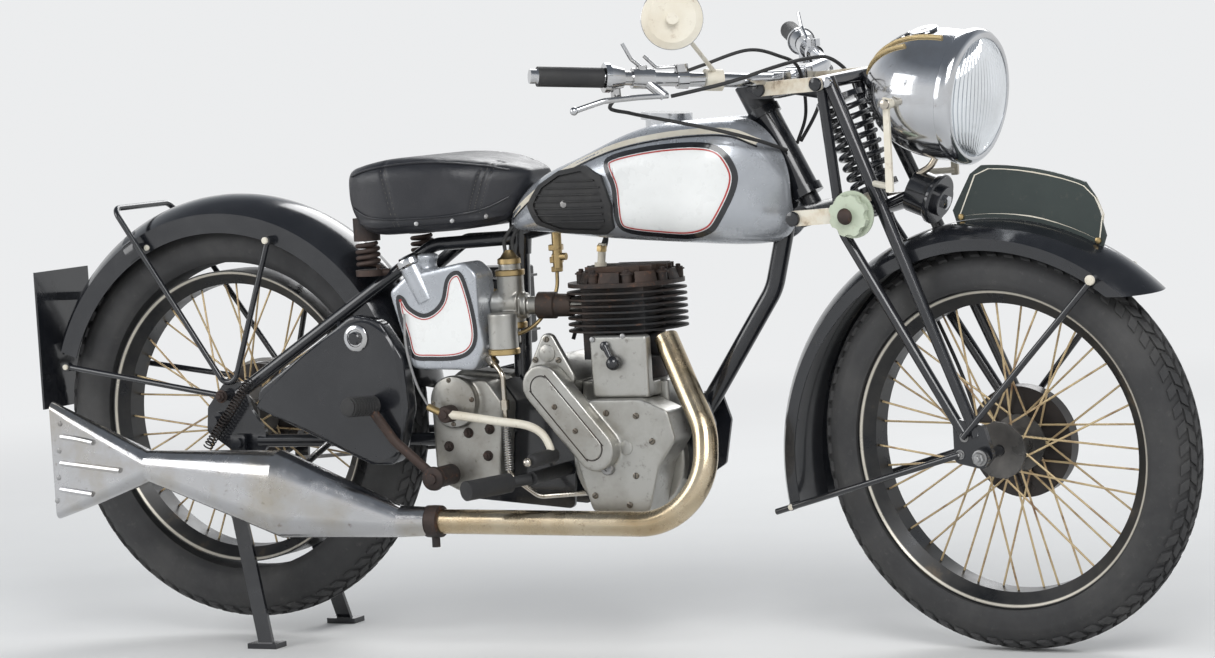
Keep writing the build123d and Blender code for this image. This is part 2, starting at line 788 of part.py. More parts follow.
# a point on the swept part of the bar, from its knee to its tip
def bar_point(side, share, forward=0, rise=0):
    x, y, z = (knee + (tip - knee) * share for knee, tip in zip(bar_knee, bar_tip))
    return (x + forward, side * y, z + rise)


handlebar = bent_rod(
    [
        bar_point(-1, 0.99),
        bar_point(-1, 0),
        (bar_knee[0] + 6, 0, bar_centre_z),
        bar_point(1, 0),
        bar_point(1, 0.99),
    ],
    bar_radius,
    50,
)
bar_clamps = [
    block((1034, 1074), (y - 12, y + 12), (508, bar_centre_z + 18), 4) for y in (-34, 34)
]
bar_ends = [
    rod(bar_point(side, 0.955), bar_point(side, 0.985), bar_radius + 1, 7) for side in (-1, 1)
]
save(steered(joined([handlebar] + bar_clamps + bar_ends)), "handlebar")


def sleeve(side, start, end, radius, end_radius=None):
    outside = rod(bar_point(side, start), bar_point(side, end), radius, end_radius)
    return outside - rod(bar_point(side, start - 0.02), bar_point(side, end + 0.02), bar_radius)


save(steered(Compound([sleeve(side, *grip_share, grip_radius) for side in (-1, 1)])), "grips")


def control_set(side):
    housing = sleeve(side, 0.625, 0.65, 23)
    cone = sleeve(side, 0.56, 0.625, 15, 21)
    cable_stub = rod(bar_point(side, 0.6, 0, -12), bar_point(side, 0.6, 0, -34), 8)
    lever_clamp = sleeve(side, 0.42, 0.52, 16)
    lever_arm = rod(bar_point(side, 0.47, 10, -8), bar_point(side, 0.44, 26, -28), 8)
    blade = bent_rod(
        [
            bar_point(side, 0.42, 24, -27),
            bar_point(side, 0.58, 34, -31),
            bar_point(side, 0.76, 40, -38),
            bar_point(side, 0.885, 34, -54),
        ],
        4.5,
        40,
    )
    blade_end = Pos(*at(*bar_point(side, 0.885, 34, -54))) * Sphere(6.5)
    small_clamp = sleeve(side, 0.26, 0.31, 14.5)
    small_hub = rod(bar_point(side, 0.285, 0, 12), bar_point(side, 0.285, 0, 24), 11)
    long_lever = bent_rod(
        [bar_point(side, 0.285, 0, 20), bar_point(side, 0.39, -4, 17), bar_point(side, 0.43, -10, 36)], 2.8, 12
    )
    clamp_hub = rod(bar_point(side, 0.47, 0, 12), bar_point(side, 0.47, 0, 20), 9)
    short_lever = bent_rod(
        [bar_point(side, 0.47, 0, 17), bar_point(side, 0.5, -6, 30), bar_point(side, 0.53, -8, 54)], 3, 12
    )
    return joined([
        housing, cone, cable_stub, lever_clamp, lever_arm, blade, blade_end,
        small_clamp, small_hub, long_lever, clamp_hub, short_lever,
    ])


save(steered(Compound([control_set(-1), control_set(1)])), "levers")
mirror_centre = (1079, -360, 651)
mirror_radius = 46
mirror_way = (0.57, -0.82, 0.06)


def behind_mirror(distance):
    return tuple(place + way * distance for place, way in zip(mirror_centre, mirror_way))


mirror = joined([
    sleeve(-1, 0.1, 0.18, 17),
    rod(bar_point(-1, 0.14, 4, 12), behind_mirror(12), 3.5),
    rod(behind_mirror(-5), behind_mirror(0), mirror_radius),
    rod(behind_mirror(0), behind_mirror(6), mirror_radius, mirror_radius - 10),
    rod(behind_mirror(0), behind_mirror(18), 9),
])
save(steered(mirror), "mirror")

# headlamp and horn
lamp_tilt = math.radians(-8)
lens_centre = (1385, 482)
lamp_radius = 101


def along_lamp(distance, y=0, rise=0):
    return (
        lens_centre[0] + distance * math.cos(lamp_tilt) - rise * math.sin(lamp_tilt),
        y,
        lens_centre[1] + distance * math.sin(lamp_tilt) + rise * math.cos(lamp_tilt),
    )


def lamp_circle(distance, radius):
    return Plane(origin=at(*along_lamp(distance)), z_dir=(math.cos(lamp_tilt), 0, math.sin(lamp_tilt))) * Circle(radius)


# distance behind the lens, radius
shell_rings = [(-16, 101), (-60, 101), (-100, 94), (-140, 74), (-170, 44), (-184, 14)]
lamp_shell = joined([
    rod(along_lamp(-16), along_lamp(0), lamp_radius),
    loft([lamp_circle(*ring) for ring in shell_rings]),
])
save(steered(lamp_shell), "headlamp_shell")
lens_rim = rod(along_lamp(fit_gap), along_lamp(9), 93)
save(steered(lens_rim), "headlamp_glass")


def lamp_bracket(side):
    strap_side = side * 105
    return joined([
        slab([(1281, 498), (1296, 494), (1290, 476), (1286, 352), (1274, 352), (1280, 470)], strap_side + 2.5, strap_side - 2.5, 2),
        rod((1280, side * 103, 360), (1228, side * 66, 362), 5),
        disc(1288, 487, 8, side * 101 + 11, side * 101 - 11),
    ])


save(steered(Compound([lamp_bracket(-1), lamp_bracket(1)])), "lamp_brackets")
horn = joined([
    rod((1264, 0, 342), (1300, 0, 328), 34),
    rod((1300, 0, 328), (1308, 0, 325), 38),
    rod((1308, 0, 325), (1316, 0, 322), 24),
    rod((1206, 0, 318), (1266, 0, 341), 7),
])
save(steered(horn), "horn")


def front_stay(side):
    return joined([
        rod((1366, side * 96.3, -30), (1590, side * 66, 208), thin_stay_radius),
        rod((1357, side * 96.3, -57), (1004, side * 68, -160), thin_stay_radius),
        disc(1590, 208, 8, side * 72, side * (guard_half_width + fit_gap - 1)),
        disc(1034, -151, 6, side * 72, side * (guard_half_width + fit_gap - 1)),
        disc(1270, 252, 6, side * 70, side * (guard_half_width + fit_gap - 1)),
    ])


save(steered(Compound([front_stay(-1), front_stay(1)])), "front_stays")


def on_guard(radius, angle):
    turn = math.radians(angle)
    return (guard_centre[0] + radius * math.sin(turn), guard_centre[1] + radius * math.cos(turn))


# front number plate, standing along the guard
plate_low = guard_crown + fit_gap
plate_high = guard_crown + 82
plate_foot = plate_low + 18
plate_outline = (
    ThreePointArc(on_guard(plate_low, -8.5), on_guard(plate_low, 10), on_guard(plate_low, 28.5))
    + Line(on_guard(plate_low, 28.5), on_guard(plate_foot, 28.2))
    + Line(on_guard(plate_foot, 28.2), on_guard(plate_high - 14, 23))
    + Line(on_guard(plate_high - 14, 23), on_guard(plate_high, 20.5))
    + ThreePointArc(on_guard(plate_high, 20.5), on_guard(plate_high, 9), on_guard(plate_high, -1))
    + Line(on_guard(plate_high, -1), on_guard(plate_high - 12, -3.5))
    + Line(on_guard(plate_high - 12, -3.5), on_guard(plate_foot, -8.8))
    + Line(on_guard(plate_foot, -8.8), on_guard(plate_low, -8.5))
)
plate_place = Plane(origin=at(0, 2, 0), x_dir=(1, 0, 0), z_dir=(0, -1, 0))
save(steered(extrude(plate_place * make_face(plate_outline), 4)), "front_plate")

# front brake cable, held by the bar, the fork and the brake arm
brake_cable_route = [
    bar_point(-1, 0.41, 26, -28),
    (1050, -170, 536),
    (1092, -100, 552),
    (1096, -20, 556),
    (1096, 58, 553),
    (1105, 108, 520),
    (1118, 113, 448),
    (1132, 112, 378),
    (1150, 110, 316),
    (1172, 110, 244),
    (1202, 106, 174),
    (1238, 98, 106),
    (1274, 87, 36),
    (1302, 75, -34),
]
cable_radius = 3


def cable_bends(points):
    bends = []
    for before, corner, after in zip(points, points[1:], points[2:]):
        arrive = at(*corner) - at(*before)
        leave = at(*after) - at(*corner)
        half_turn = math.radians(arrive.get_angle(leave)) / 2
        bends.append(0.45 * min(arrive.length, leave.length) / math.tan(half_turn))
    return bends


brake_cable_bends = cable_bends(brake_cable_route)
print("brake cable bends", [round(bend) for bend in brake_cable_bends])
brake_cable = bent_rod(brake_cable_route, cable_radius, brake_cable_bends)
save(steered(brake_cable), "brake_cable")

# oil pipes from the tank to the crankcase
oil_pipe_route = [(524, -92, 106), (560, -106, 72), (562, -106, -92), (606, -90, -130), (676, -44, -130)]
oil_pipe_radius = 4.5
oil_unions = [
    rod((532, -95.1, 98.4), (543, -99.4, 88), 9),
    rod((561, -106, 30), (561, -106, 14), 7.5),
]
save(joined([bent_rod(oil_pipe_route, oil_pipe_radius, 22)] + oil_unions), "oil_pipes")

# a piece that sits on another gives way to it, face to face
seated_on = [
    ("down_tube", "steering_head"),
    ("down_tube", "engine_plates"),
    ("seat_tube", "top_tube"),
    ("seat_stays", "seat_tube"),
    ("seat_tube", "engine_plates"),
    ("seat_tube", "gearbox"),
    ("engine_plates", "crankcase"),
    ("engine_plates", "gearbox"),
    ("engine_plates", "timing_cover"),
    ("tappet_chest", "crankcase"),
    ("tappet_chest", "timing_cover"),
    ("magneto", "timing_cover"),
    ("magneto", "crankcase"),
    ("petrol_tap", "fuel_tank"),
    ("knee_pads", "fuel_tank"),
    ("tank_brackets", "oil_tank"),
    ("exhaust_pipe", "tappet_chest"),
    ("exhaust_pipe", "crankcase"),
    ("exhaust_pipe", "timing_cover"),
    ("footrests", "engine_plates"),
    ("primary_case", "footrests"),
    ("chain_stays", "gearbox"),
    ("chain_stays", "engine_plates"),
    ("seat_stays", "chain_stays"),
    ("silencer", "chain_stays"),
    ("exhaust_pipe", "barrel"),
    ("carburettor", "barrel"),
    ("carburettor", "magneto"),
    ("tank_brackets", "seat_tube"),
    ("tank_brackets", "battery"),
    ("toolbox", "seat_stays"),
    ("toolbox", "chain_stays"),
    ("brake_pedal", "primary_case"),
    ("front_guard", "girder_fork"),
    ("front_stays", "girder_fork"),
    ("rear_guard", "chain_stays"),
    ("rear_guard", "seat_stays"),
    ("lamp_brackets", "girder_fork"),
    ("lamp_brackets", "headlamp_shell"),
    ("fork_spring", "fork_links"),
    ("horn", "girder_fork"),
    ("guard_stays", "rear_guard"),
    ("guard_stays", "chain_stays"),
    ("front_stays", "front_guard"),
    ("front_plate", "front_guard"),
    ("saddle_springs", "saddle"),
    ("saddle_springs", "seat_stays"),
    ("handlebar", "fork_links"),
    ("levers", "handlebar"),
    ("mirror", "handlebar"),
    ("fork_spring", "girder_fork"),
    ("spark_plug", "cylinder_head"),
    ("spark_plug", "fuel_tank"),
    ("oil_pipes", "oil_tank"),
    ("oil_pipes", "crankcase"),
    ("oil_pipes", "timing_cover"),
    ("oil_pipes", "engine_plates"),
    ("saddle", "fuel_tank"),
    ("brake_cable", "levers"),
    ("brake_cable", "girder_fork"),
]
for name, carrier in seated_on:
    nodes[name] = nodes[name] - nodes[carrier]
for name, shape in nodes.items():
    export_step(shape, "parts/" + name + ".step")
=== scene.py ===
# vintage motorcycle on its rear stand, dressed over the fixed frame
import bpy, bmesh, json, math
from mathutils import Vector, Matrix
from mathutils.bvhtree import BVHTree


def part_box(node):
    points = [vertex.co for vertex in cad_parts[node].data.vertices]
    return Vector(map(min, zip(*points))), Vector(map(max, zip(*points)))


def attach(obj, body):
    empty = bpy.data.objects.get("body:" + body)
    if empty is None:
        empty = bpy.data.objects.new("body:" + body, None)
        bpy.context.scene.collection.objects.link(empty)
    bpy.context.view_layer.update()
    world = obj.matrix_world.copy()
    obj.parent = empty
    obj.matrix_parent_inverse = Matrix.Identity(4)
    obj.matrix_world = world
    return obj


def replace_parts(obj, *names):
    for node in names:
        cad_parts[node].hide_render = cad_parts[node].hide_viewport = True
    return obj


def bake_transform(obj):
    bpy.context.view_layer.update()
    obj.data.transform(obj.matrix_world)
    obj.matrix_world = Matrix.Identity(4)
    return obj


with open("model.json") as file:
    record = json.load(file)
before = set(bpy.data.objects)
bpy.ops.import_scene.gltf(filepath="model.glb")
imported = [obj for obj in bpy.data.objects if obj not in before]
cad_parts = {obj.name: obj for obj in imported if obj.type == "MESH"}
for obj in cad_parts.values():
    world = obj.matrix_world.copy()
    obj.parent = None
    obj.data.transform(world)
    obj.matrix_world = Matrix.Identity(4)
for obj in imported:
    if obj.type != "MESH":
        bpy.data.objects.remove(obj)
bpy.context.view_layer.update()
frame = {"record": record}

scene = bpy.context.scene
scene.view_settings.view_transform = "Standard"

mm = 0.001
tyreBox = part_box("rear_tyre")
rearAxle = (Vector(tyreBox[0]) + Vector(tyreBox[1])) / 2


def at(x, y, z):
    # millimetres from the rear axle to metres in the scene
    return rearAxle + Vector((x, y, z)) * mm


# materials: noise makes the patches, specks and uneven gloss
def newMaterial(name):
    mat = bpy.data.materials.new(name)
    mat.use_nodes = True
    mat.node_tree.nodes.new("ShaderNodeTexCoord")
    return mat, mat.node_tree.nodes["Principled BSDF"]


def feed(mat, value, socket):
    # a socket takes another node's output or a fixed value
    if isinstance(value, bpy.types.NodeSocket):
        mat.node_tree.links.new(value, socket)
    else:
        socket.default_value = value


def newNode(mat, kind, sources, **settings):
    node = mat.node_tree.nodes.new("ShaderNode" + kind)
    for key, value in settings.items():
        setattr(node, key, value)
    for socket, value in sources.items():
        feed(mat, value, node.inputs[socket])
    return node


def objectPlace(mat):
    return mat.node_tree.nodes["Texture Coordinate"].outputs["Object"]


def noise(mat, scale, detail=6, rough=0.55):
    sources = {"Vector": objectPlace(mat), "Scale": scale, "Detail": detail, "Roughness": rough}
    return newNode(mat, "TexNoise", sources).outputs["Fac"]


def ramp(mat, source, stops):
    node = newNode(mat, "ValToRGB", {"Fac": source})
    elements = node.color_ramp.elements
    while len(elements) < len(stops):
        elements.new(0.5)
    for element, (place, colour) in zip(elements, stops):
        element.position = place
        element.color = (*colour, 1)
    return node.outputs["Color"]


def greyRamp(mat, source, *stops):
    return ramp(mat, source, [(place, (value, value, value)) for place, value in stops])


def mixColours(mat, mask, first, second):
    node = newNode(mat, "Mix", {"Factor": mask}, data_type="RGBA")
    colourSockets = [s for s in node.inputs if s.type == "RGBA"]
    for socket, value in zip(colourSockets, (first, second)):
        feed(mat, (*value, 1) if isinstance(value, tuple) else value, socket)
    return [s for s in node.outputs if s.type == "RGBA"][0]


def bump(mat, height, strength, depth):
    node = newNode(mat, "Bump", {"Strength": strength, "Distance": depth, "Height": height})
    feed(mat, node.outputs["Normal"], mat.node_tree.nodes["Principled BSDF"].inputs["Normal"])


# what a finish has unless it says otherwise
plainLook = dict(patchScale=9, patchFrom=0.45, patchTo=0.7, speckScale=70, speckFrom=0.58, speckTo=0.72,
                 speckMost=0.6, glossScale=26, metal=0, coat=0, coatRough=0.08, bumpScale=240, bump=0.08,
                 bumpDepth=0.0006)


def surfaceMaterial(name, look):
    # look: colour, second colour in patches, dirt colour in specks, gloss range
    look = {**plainLook, **look}
    mat, shader = newMaterial(name)
    patches = greyRamp(mat, noise(mat, look["patchScale"], 5, 0.6), (look["patchFrom"], 0), (look["patchTo"], 1))
    colour = mixColours(mat, patches, look["colour"], look["patch"])
    specks = greyRamp(mat, noise(mat, look["speckScale"], 8, 0.7), (look["speckFrom"], 0),
                      (look["speckTo"], look["speckMost"]))
    feed(mat, mixColours(mat, specks, colour, look["speck"]), shader.inputs["Base Color"])
    low, high = look["gloss"]
    gloss = greyRamp(mat, noise(mat, look["glossScale"], 7, 0.65), (0.3, low), (0.75, high))
    feed(mat, gloss, shader.inputs["Roughness"])
    shader.inputs["Metallic"].default_value = look["metal"]
    shader.inputs["Coat Weight"].default_value = look["coat"]
    shader.inputs["Coat Roughness"].default_value = look["coatRough"]
    bump(mat, noise(mat, look["bumpScale"], 4, 0.6), look["bump"], look["bumpDepth"])
    return mat


# a finish without a slot of its own in the frame names the slot that it counts as
finishes = {
    "blackEnamel": dict(colour=(0.01, 0.011, 0.014), patch=(0.018, 0.019, 0.022), speck=(0.1, 0.075, 0.05),
            speckFrom=0.62, speckTo=0.8, speckMost=0.35, gloss=(0.1, 0.32), coat=0.5, bump=0.05),
    "silverPaint": dict(colour=(0.44, 0.46, 0.49), patch=(0.38, 0.4, 0.43), speck=(0.24, 0.22, 0.2), speckMost=0.15,
            gloss=(0.2, 0.34), metal=0.55, coat=0.4, bump=0.03),
    "creamPaint": dict(colour=(0.72, 0.68, 0.58), patch=(0.62, 0.56, 0.45), speck=(0.25, 0.15, 0.08), speckMost=0.5,
            gloss=(0.3, 0.55)),
    "plateGreen": dict(colour=(0.022, 0.032, 0.03), patch=(0.03, 0.042, 0.038), speck=(0.12, 0.11, 0.09),
            speckMost=0.3, gloss=(0.3, 0.5)),
    "chrome": dict(colour=(0.6, 0.61, 0.63), patch=(0.5, 0.49, 0.48), speck=(0.2, 0.13, 0.08), speckFrom=0.64,
            speckTo=0.74, gloss=(0.06, 0.2), metal=1, bump=0.02),
    "nickel": dict(colour=(0.56, 0.53, 0.48), patch=(0.5, 0.41, 0.29), speck=(0.18, 0.1, 0.06), gloss=(0.13, 0.36),
            metal=1, bump=0.03),
    "alloy": dict(colour=(0.44, 0.435, 0.41), patch=(0.28, 0.265, 0.235), speck=(0.09, 0.07, 0.055), speckMost=0.6,
            gloss=(0.26, 0.5), metal=0.85, bump=0.12, bumpScale=170),
    "steel": dict(colour=(0.36, 0.36, 0.36), patch=(0.22, 0.2, 0.18), speck=(0.12, 0.07, 0.04), gloss=(0.3, 0.55),
            metal=0.9, bump=0.1),
    "darkSteel": dict(slot="steel", colour=(0.2, 0.18, 0.15), patch=(0.12, 0.1, 0.08), speck=(0.1, 0.06, 0.04),
            gloss=(0.28, 0.5), metal=0.9, bump=0.1),
    "iron": dict(colour=(0.022, 0.022, 0.023), patch=(0.06, 0.04, 0.03), speck=(0.18, 0.08, 0.04), speckMost=0.6,
            gloss=(0.45, 0.75), metal=0.4, bump=0.3, bumpScale=300, bumpDepth=0.001),
    "rustyIron": dict(colour=(0.06, 0.04, 0.033), patch=(0.025, 0.022, 0.022), speck=(0.24, 0.1, 0.05),
            speckMost=0.75, gloss=(0.5, 0.8), metal=0.4, bump=0.35, bumpScale=300, bumpDepth=0.001),
    "brass": dict(colour=(0.5, 0.37, 0.18), patch=(0.34, 0.25, 0.13), speck=(0.12, 0.08, 0.04), gloss=(0.25, 0.48),
            metal=1, bump=0.06),
    "sootyIron": dict(slot="iron", colour=(0.03, 0.024, 0.022), patch=(0.075, 0.045, 0.032), patchFrom=0.5,
            speck=(0.2, 0.09, 0.05), speckMost=0.7, gloss=(0.45, 0.75), metal=0.4, bump=0.35, bumpScale=300,
            bumpDepth=0.001),
    "bluedPipe": dict(slot="nickel", colour=(0.6, 0.51, 0.37), patch=(0.46, 0.35, 0.21), patchFrom=0.4,
            speck=(0.16, 0.09, 0.05), gloss=(0.14, 0.38), metal=1, bump=0.03),
    "dullChrome": dict(slot="nickel", colour=(0.54, 0.54, 0.55), patch=(0.46, 0.43, 0.38), speck=(0.15, 0.1, 0.06),
            speckFrom=0.6, gloss=(0.12, 0.34), metal=1, bump=0.03),
    "paleGreen": dict(slot="cream_paint", colour=(0.5, 0.56, 0.44), patch=(0.42, 0.45, 0.34),
            speck=(0.2, 0.14, 0.08), speckMost=0.5, gloss=(0.3, 0.5)),
    "rubber": dict(colour=(0.02, 0.02, 0.021), patch=(0.035, 0.034, 0.033), speck=(0.1, 0.09, 0.08), speckMost=0.3,
            gloss=(0.55, 0.8), bump=0.2, bumpScale=420),
    "tyreRubber": dict(colour=(0.032, 0.032, 0.033), patch=(0.052, 0.051, 0.05), speck=(0.1, 0.095, 0.09),
            speckMost=0.4, gloss=(0.6, 0.85), bump=0.2, bumpScale=380),
    "leather": dict(colour=(0.014, 0.015, 0.019), patch=(0.028, 0.028, 0.032), speck=(0.06, 0.05, 0.045),
            speckMost=0.3, gloss=(0.28, 0.5), bump=0.4, bumpScale=520, bumpDepth=0.0008),
    "lampGlass": dict(colour=(0.84, 0.87, 0.9), patch=(0.74, 0.76, 0.78), speck=(0.5, 0.5, 0.5), speckMost=0.3,
            gloss=(0.03, 0.1), metal=0.85, coat=0.9, bump=0.02),
    # darker glass for the faces along the flute valleys: painted shade in the valleys
    "lampValley": dict(slot="lamp_glass", colour=(0.42, 0.46, 0.5), patch=(0.34, 0.36, 0.38), speck=(0.3, 0.3, 0.3),
            speckMost=0.3, gloss=(0.05, 0.14), metal=0.85, coat=0.6, bump=0.02),
    "mirrorGlass": dict(slot="chrome", colour=(0.72, 0.74, 0.76), patch=(0.68, 0.7, 0.72), speck=(0.3, 0.3, 0.3),
            speckMost=0.1, gloss=(0.02, 0.06), metal=1),
    "whitePaint": dict(slot="silver_paint", colour=(0.78, 0.79, 0.78), patch=(0.7, 0.71, 0.7),
            speck=(0.35, 0.3, 0.25), speckMost=0.15, gloss=(0.22, 0.4), coat=0.4, bump=0.04),
    "redPaint": dict(slot="silver_paint", colour=(0.42, 0.02, 0.015), patch=(0.34, 0.02, 0.015),
            speck=(0.2, 0.05, 0.03), gloss=(0.25, 0.4), coat=0.3),
    "thread": dict(slot="leather", colour=(0.1, 0.095, 0.085), patch=(0.07, 0.066, 0.06), speck=(0.16, 0.15, 0.13),
            gloss=(0.6, 0.85)),
    "agedGold": dict(slot="brass", colour=(0.56, 0.43, 0.22), patch=(0.48, 0.37, 0.2), speck=(0.2, 0.13, 0.07),
            gloss=(0.3, 0.5), metal=0.5),
    "blackPlastic": dict(colour=(0.018, 0.018, 0.018), patch=(0.03, 0.03, 0.03), speck=(0.08, 0.07, 0.06),
            gloss=(0.3, 0.5)),
}
material = {name: surfaceMaterial(name, look) for name, look in finishes.items()}
ownSlots = {name: "".join("_" + c.lower() if c.isupper() else c for c in name) for name in finishes}
slotFinish = {slot: name for name, slot in ownSlots.items()}


def repaint(node, mat):
    for slot in bpy.data.objects[node].material_slots:
        slot.material = mat


nodeSlots = {entry["node"]: entry["material_slot"] for entry in frame["record"]["subparts"]}
for node, slotName in nodeSlots.items():
    repaint(node, material[slotFinish[slotName]])
ownFinish = {"saddle_springs": "rustyIron", "exhaust_pipe": "bluedPipe", "silencer": "dullChrome",
             "damper_knob": "paleGreen", "cylinder_head": "sootyIron", "gear_lever": "creamPaint"}
for node, finish in ownFinish.items():
    repaint(node, material[finish])
print("finishes on", len(nodeSlots), "frame pieces")

# shapes shared by all the added pieces
steeringFoot = at(1085, 0, 312)
rake = math.radians(27)
steeringTurn = math.radians(-8.3)
steeringLine = Vector((-math.sin(rake), 0, math.cos(rake)))
frontTurn = (Matrix.Translation(steeringFoot) @ Matrix.Rotation(steeringTurn, 4, steeringLine)
             @ Matrix.Translation(-steeringFoot))
rightWay = Vector((0, -1, 0))
upWay = Vector((0, 0, 1))
forwardWay = Vector((1, 0, 0))
sides = ((-1, "Right"), (1, "Left"))


def front(x, y, z):
    # a place on the front end, given as if it pointed straight ahead
    return frontTurn @ at(x, y, z)


def frontWay(x, y, z):
    return (frontTurn.to_3x3() @ Vector((x, y, z))).normalized()


def coat(mesh, finish):
    mesh.materials.clear()
    mesh.materials.append(material[finish])
    mesh.polygons.foreach_set("use_smooth", [True] * len(mesh.polygons))


def newPiece(name, verts, faces, finish, sharp=None):
    mesh = bpy.data.meshes.new(name)
    mesh.from_pydata([tuple(v) for v in verts], [], faces)
    mesh.validate()
    coat(mesh, finish)
    if sharp:
        mesh.set_sharp_from_angle(angle=math.radians(sharp))
    piece = bpy.data.objects.new(name, mesh)
    scene.collection.objects.link(piece)
    return piece


def addPiece(name, verts, faces, finish, body="chassis", sharp=40):
    piece = newPiece(name, verts, faces, finish, sharp)
    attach(piece, body)
    return piece


def acrossJoint(name, verts, faces, finish, firstBody, lastBody, start, end):
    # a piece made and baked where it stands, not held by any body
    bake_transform(newPiece(name, verts, faces, finish))


def spoke(side, other, turn, radius):
    # a step outward from a line, turned about it
    return (side * math.cos(turn) + other * math.sin(turn)) * radius * mm


def ringFaces(faces, first, rows, sides, closed=False):
    # four-sided faces between rings of points, and an end face at both ends of an open run
    for row in range(rows if closed else rows - 1):
        here, ahead = first + row * sides, first + (row + 1) % rows * sides
        for k in range(sides):
            j = (k + 1) % sides
            faces.append((here + k, here + j, ahead + j, ahead + k))
    if not closed:
        faces.append(tuple(first + k for k in range(sides))[::-1])
        faces.append(tuple(first + (rows - 1) * sides + k for k in range(sides)))


def latheInto(verts, faces, base, way, profile, segments):
    # profile: (along, radius) in millimetres, from base in the direction way
    way = way.normalized()
    side = way.orthogonal().normalized()
    other = way.cross(side)
    first = len(verts)
    for along, radius in profile:
        for k in range(segments):
            verts.append(base + way * along * mm + spoke(side, other, 2 * math.pi * k / segments, radius))
    ringFaces(faces, first, len(profile), segments)


def lathe(name, base, way, profile, finish, segments=28, body="chassis"):
    verts, faces = [], []
    latheInto(verts, faces, base, way, profile, segments)
    addPiece(name, verts, faces, finish, body)


def ballProfile(radius, steps):
    turns = [math.pi * k / steps for k in range(steps + 1)]
    return [(radius - radius * math.cos(turn), max(radius * math.sin(turn), 0.2)) for turn in turns]


def smoothPath(points, steps=8, closed=False):
    points = [Vector(p) for p in points]
    count = len(points)
    out = []
    for i in range(count if closed else count - 1):
        p1, p2 = points[i], points[(i + 1) % count]
        p0 = points[i - 1] if (i > 0 or closed) else p1 * 2 - p2
        p3 = points[(i + 2) % count] if (i + 2 < count or closed) else p2 * 2 - p1
        for k in range(steps):
            t = k / steps
            out.append(0.5 * (2 * p1 + (p2 - p0) * t + (2 * p0 - 5 * p1 + 4 * p2 - p3) * t * t
                              + (3 * p1 - p0 - 3 * p2 + p3) * t * t * t))
    if not closed:
        out.append(points[-1])
    return out


def tubeInto(verts, faces, path, radius, sides, closed):
    # radius: millimetres, one value or a function of the share along the path
    first = len(verts)
    count = len(path)
    side = (path[1] - path[0]).normalized().orthogonal().normalized()
    for i, point in enumerate(path):
        ahead = path[(i + 1) % count] if (closed or i + 1 < count) else point
        behind = path[i - 1] if (closed or i) else point
        tangent = (ahead - behind).normalized()
        side = (side - tangent * side.dot(tangent)).normalized()
        other = tangent.cross(side)
        size = radius(i / max(count - 1, 1)) if callable(radius) else radius
        verts.extend(point + spoke(side, other, 2 * math.pi * k / sides, size) for k in range(sides))
    ringFaces(faces, first, count, sides, closed)


def tubeShape(paths, radius, sides, closed=False):
    verts, faces = [], []
    for path in paths:
        tubeInto(verts, faces, path, radius, sides, closed)
    return verts, faces


def tube(name, points, radius, finish, sides=12, steps=8, closed=False, body="chassis"):
    shape = tubeShape([smoothPath(points, steps, closed)], radius, sides, closed)
    return addPiece(name, *shape, finish, body)


def coilShape(a, b, radius, wire, turns, steps=16):
    run = b - a
    side = run.orthogonal().normalized()
    other = run.normalized().cross(side)
    path = [a + run * i / (turns * steps) + spoke(side, other, 2 * math.pi * i / steps, radius)
            for i in range(turns * steps + 1)]
    return tubeShape([path], wire, 8)


def meshTree(piece):
    shape = bmesh.new()
    shape.from_mesh(piece.data)
    tree = BVHTree.FromBMesh(shape)
    shape.free()
    return tree


def nodeTree(node):
    return meshTree(bpy.data.objects[node])


def touch(tree, start, way, lift):
    # where a line meets a surface, lifted off it by some millimetres
    place, normal, index, reach = tree.ray_cast(start, way)
    if place is None:
        place, normal, index, reach = tree.find_nearest(start)
    if normal.dot(way) > 0:
        normal = -normal
    return place + normal * lift * mm


def sideTouch(tree, side, x, z, lift, reach=400):
    return touch(tree, at(x, side * reach, z), Vector((0, -side, 0)), lift)


def spanAt(outline, x):
    cuts = []
    for (x1, z1), (x2, z2) in zip(outline, outline[1:] + outline[:1]):
        if (x1 - x) * (x2 - x) <= 0 and x1 != x2:
            cuts.append(z1 + (z2 - z1) * (x - x1) / (x2 - x1))
    return min(cuts), max(cuts)


def flatPath(line, steps, closed=False):
    return [(p.x, p.z) for p in smoothPath([(x, 0, z) for x, z in line], steps, closed)]


def sidePatch(name, tree, side, outline, lift, finish, columns=70, rows=26):
    low = min(x for x, z in outline) + 0.05
    high = max(x for x, z in outline) - 0.05
    verts, faces = [], []
    for i in range(columns + 1):
        x = low + (high - low) * (0.5 - 0.5 * math.cos(math.pi * i / columns))
        bottom, top = spanAt(outline, x)
        for k in range(rows + 1):
            verts.append(sideTouch(tree, side, x, bottom + (top - bottom) * k / rows, lift))
    for i in range(columns):
        for k in range(rows):
            a = i * (rows + 1) + k
            face = (a, a + 1, a + rows + 2, a + rows + 1)
            faces.append(face if side < 0 else face[::-1])
    addPiece(name, verts, faces, finish)


def sideRibbon(name, tree, side, outline, width, lift, finish, closed=True, offset=0):
    # a flat line of paint along an outline; offset moves it to the right of its direction
    verts, faces = [], []
    count = len(outline)
    for i, (x, z) in enumerate(outline):
        ahead = outline[(i + 1) % count] if (closed or i + 1 < count) else outline[i]
        behind = outline[i - 1] if (closed or i) else outline[i]
        run = Vector((ahead[0] - behind[0], ahead[1] - behind[1])).normalized()
        for reach in (offset - width / 2, offset + width / 2):
            verts.append(sideTouch(tree, side, x + run.y * reach, z - run.x * reach, lift))
    for i in range(count if closed else count - 1):
        a, b = 2 * i, 2 * ((i + 1) % count)
        face = (a, a + 1, b + 1, b)
        faces.append(face if side < 0 else face[::-1])
    addPiece(name, verts, faces, finish)


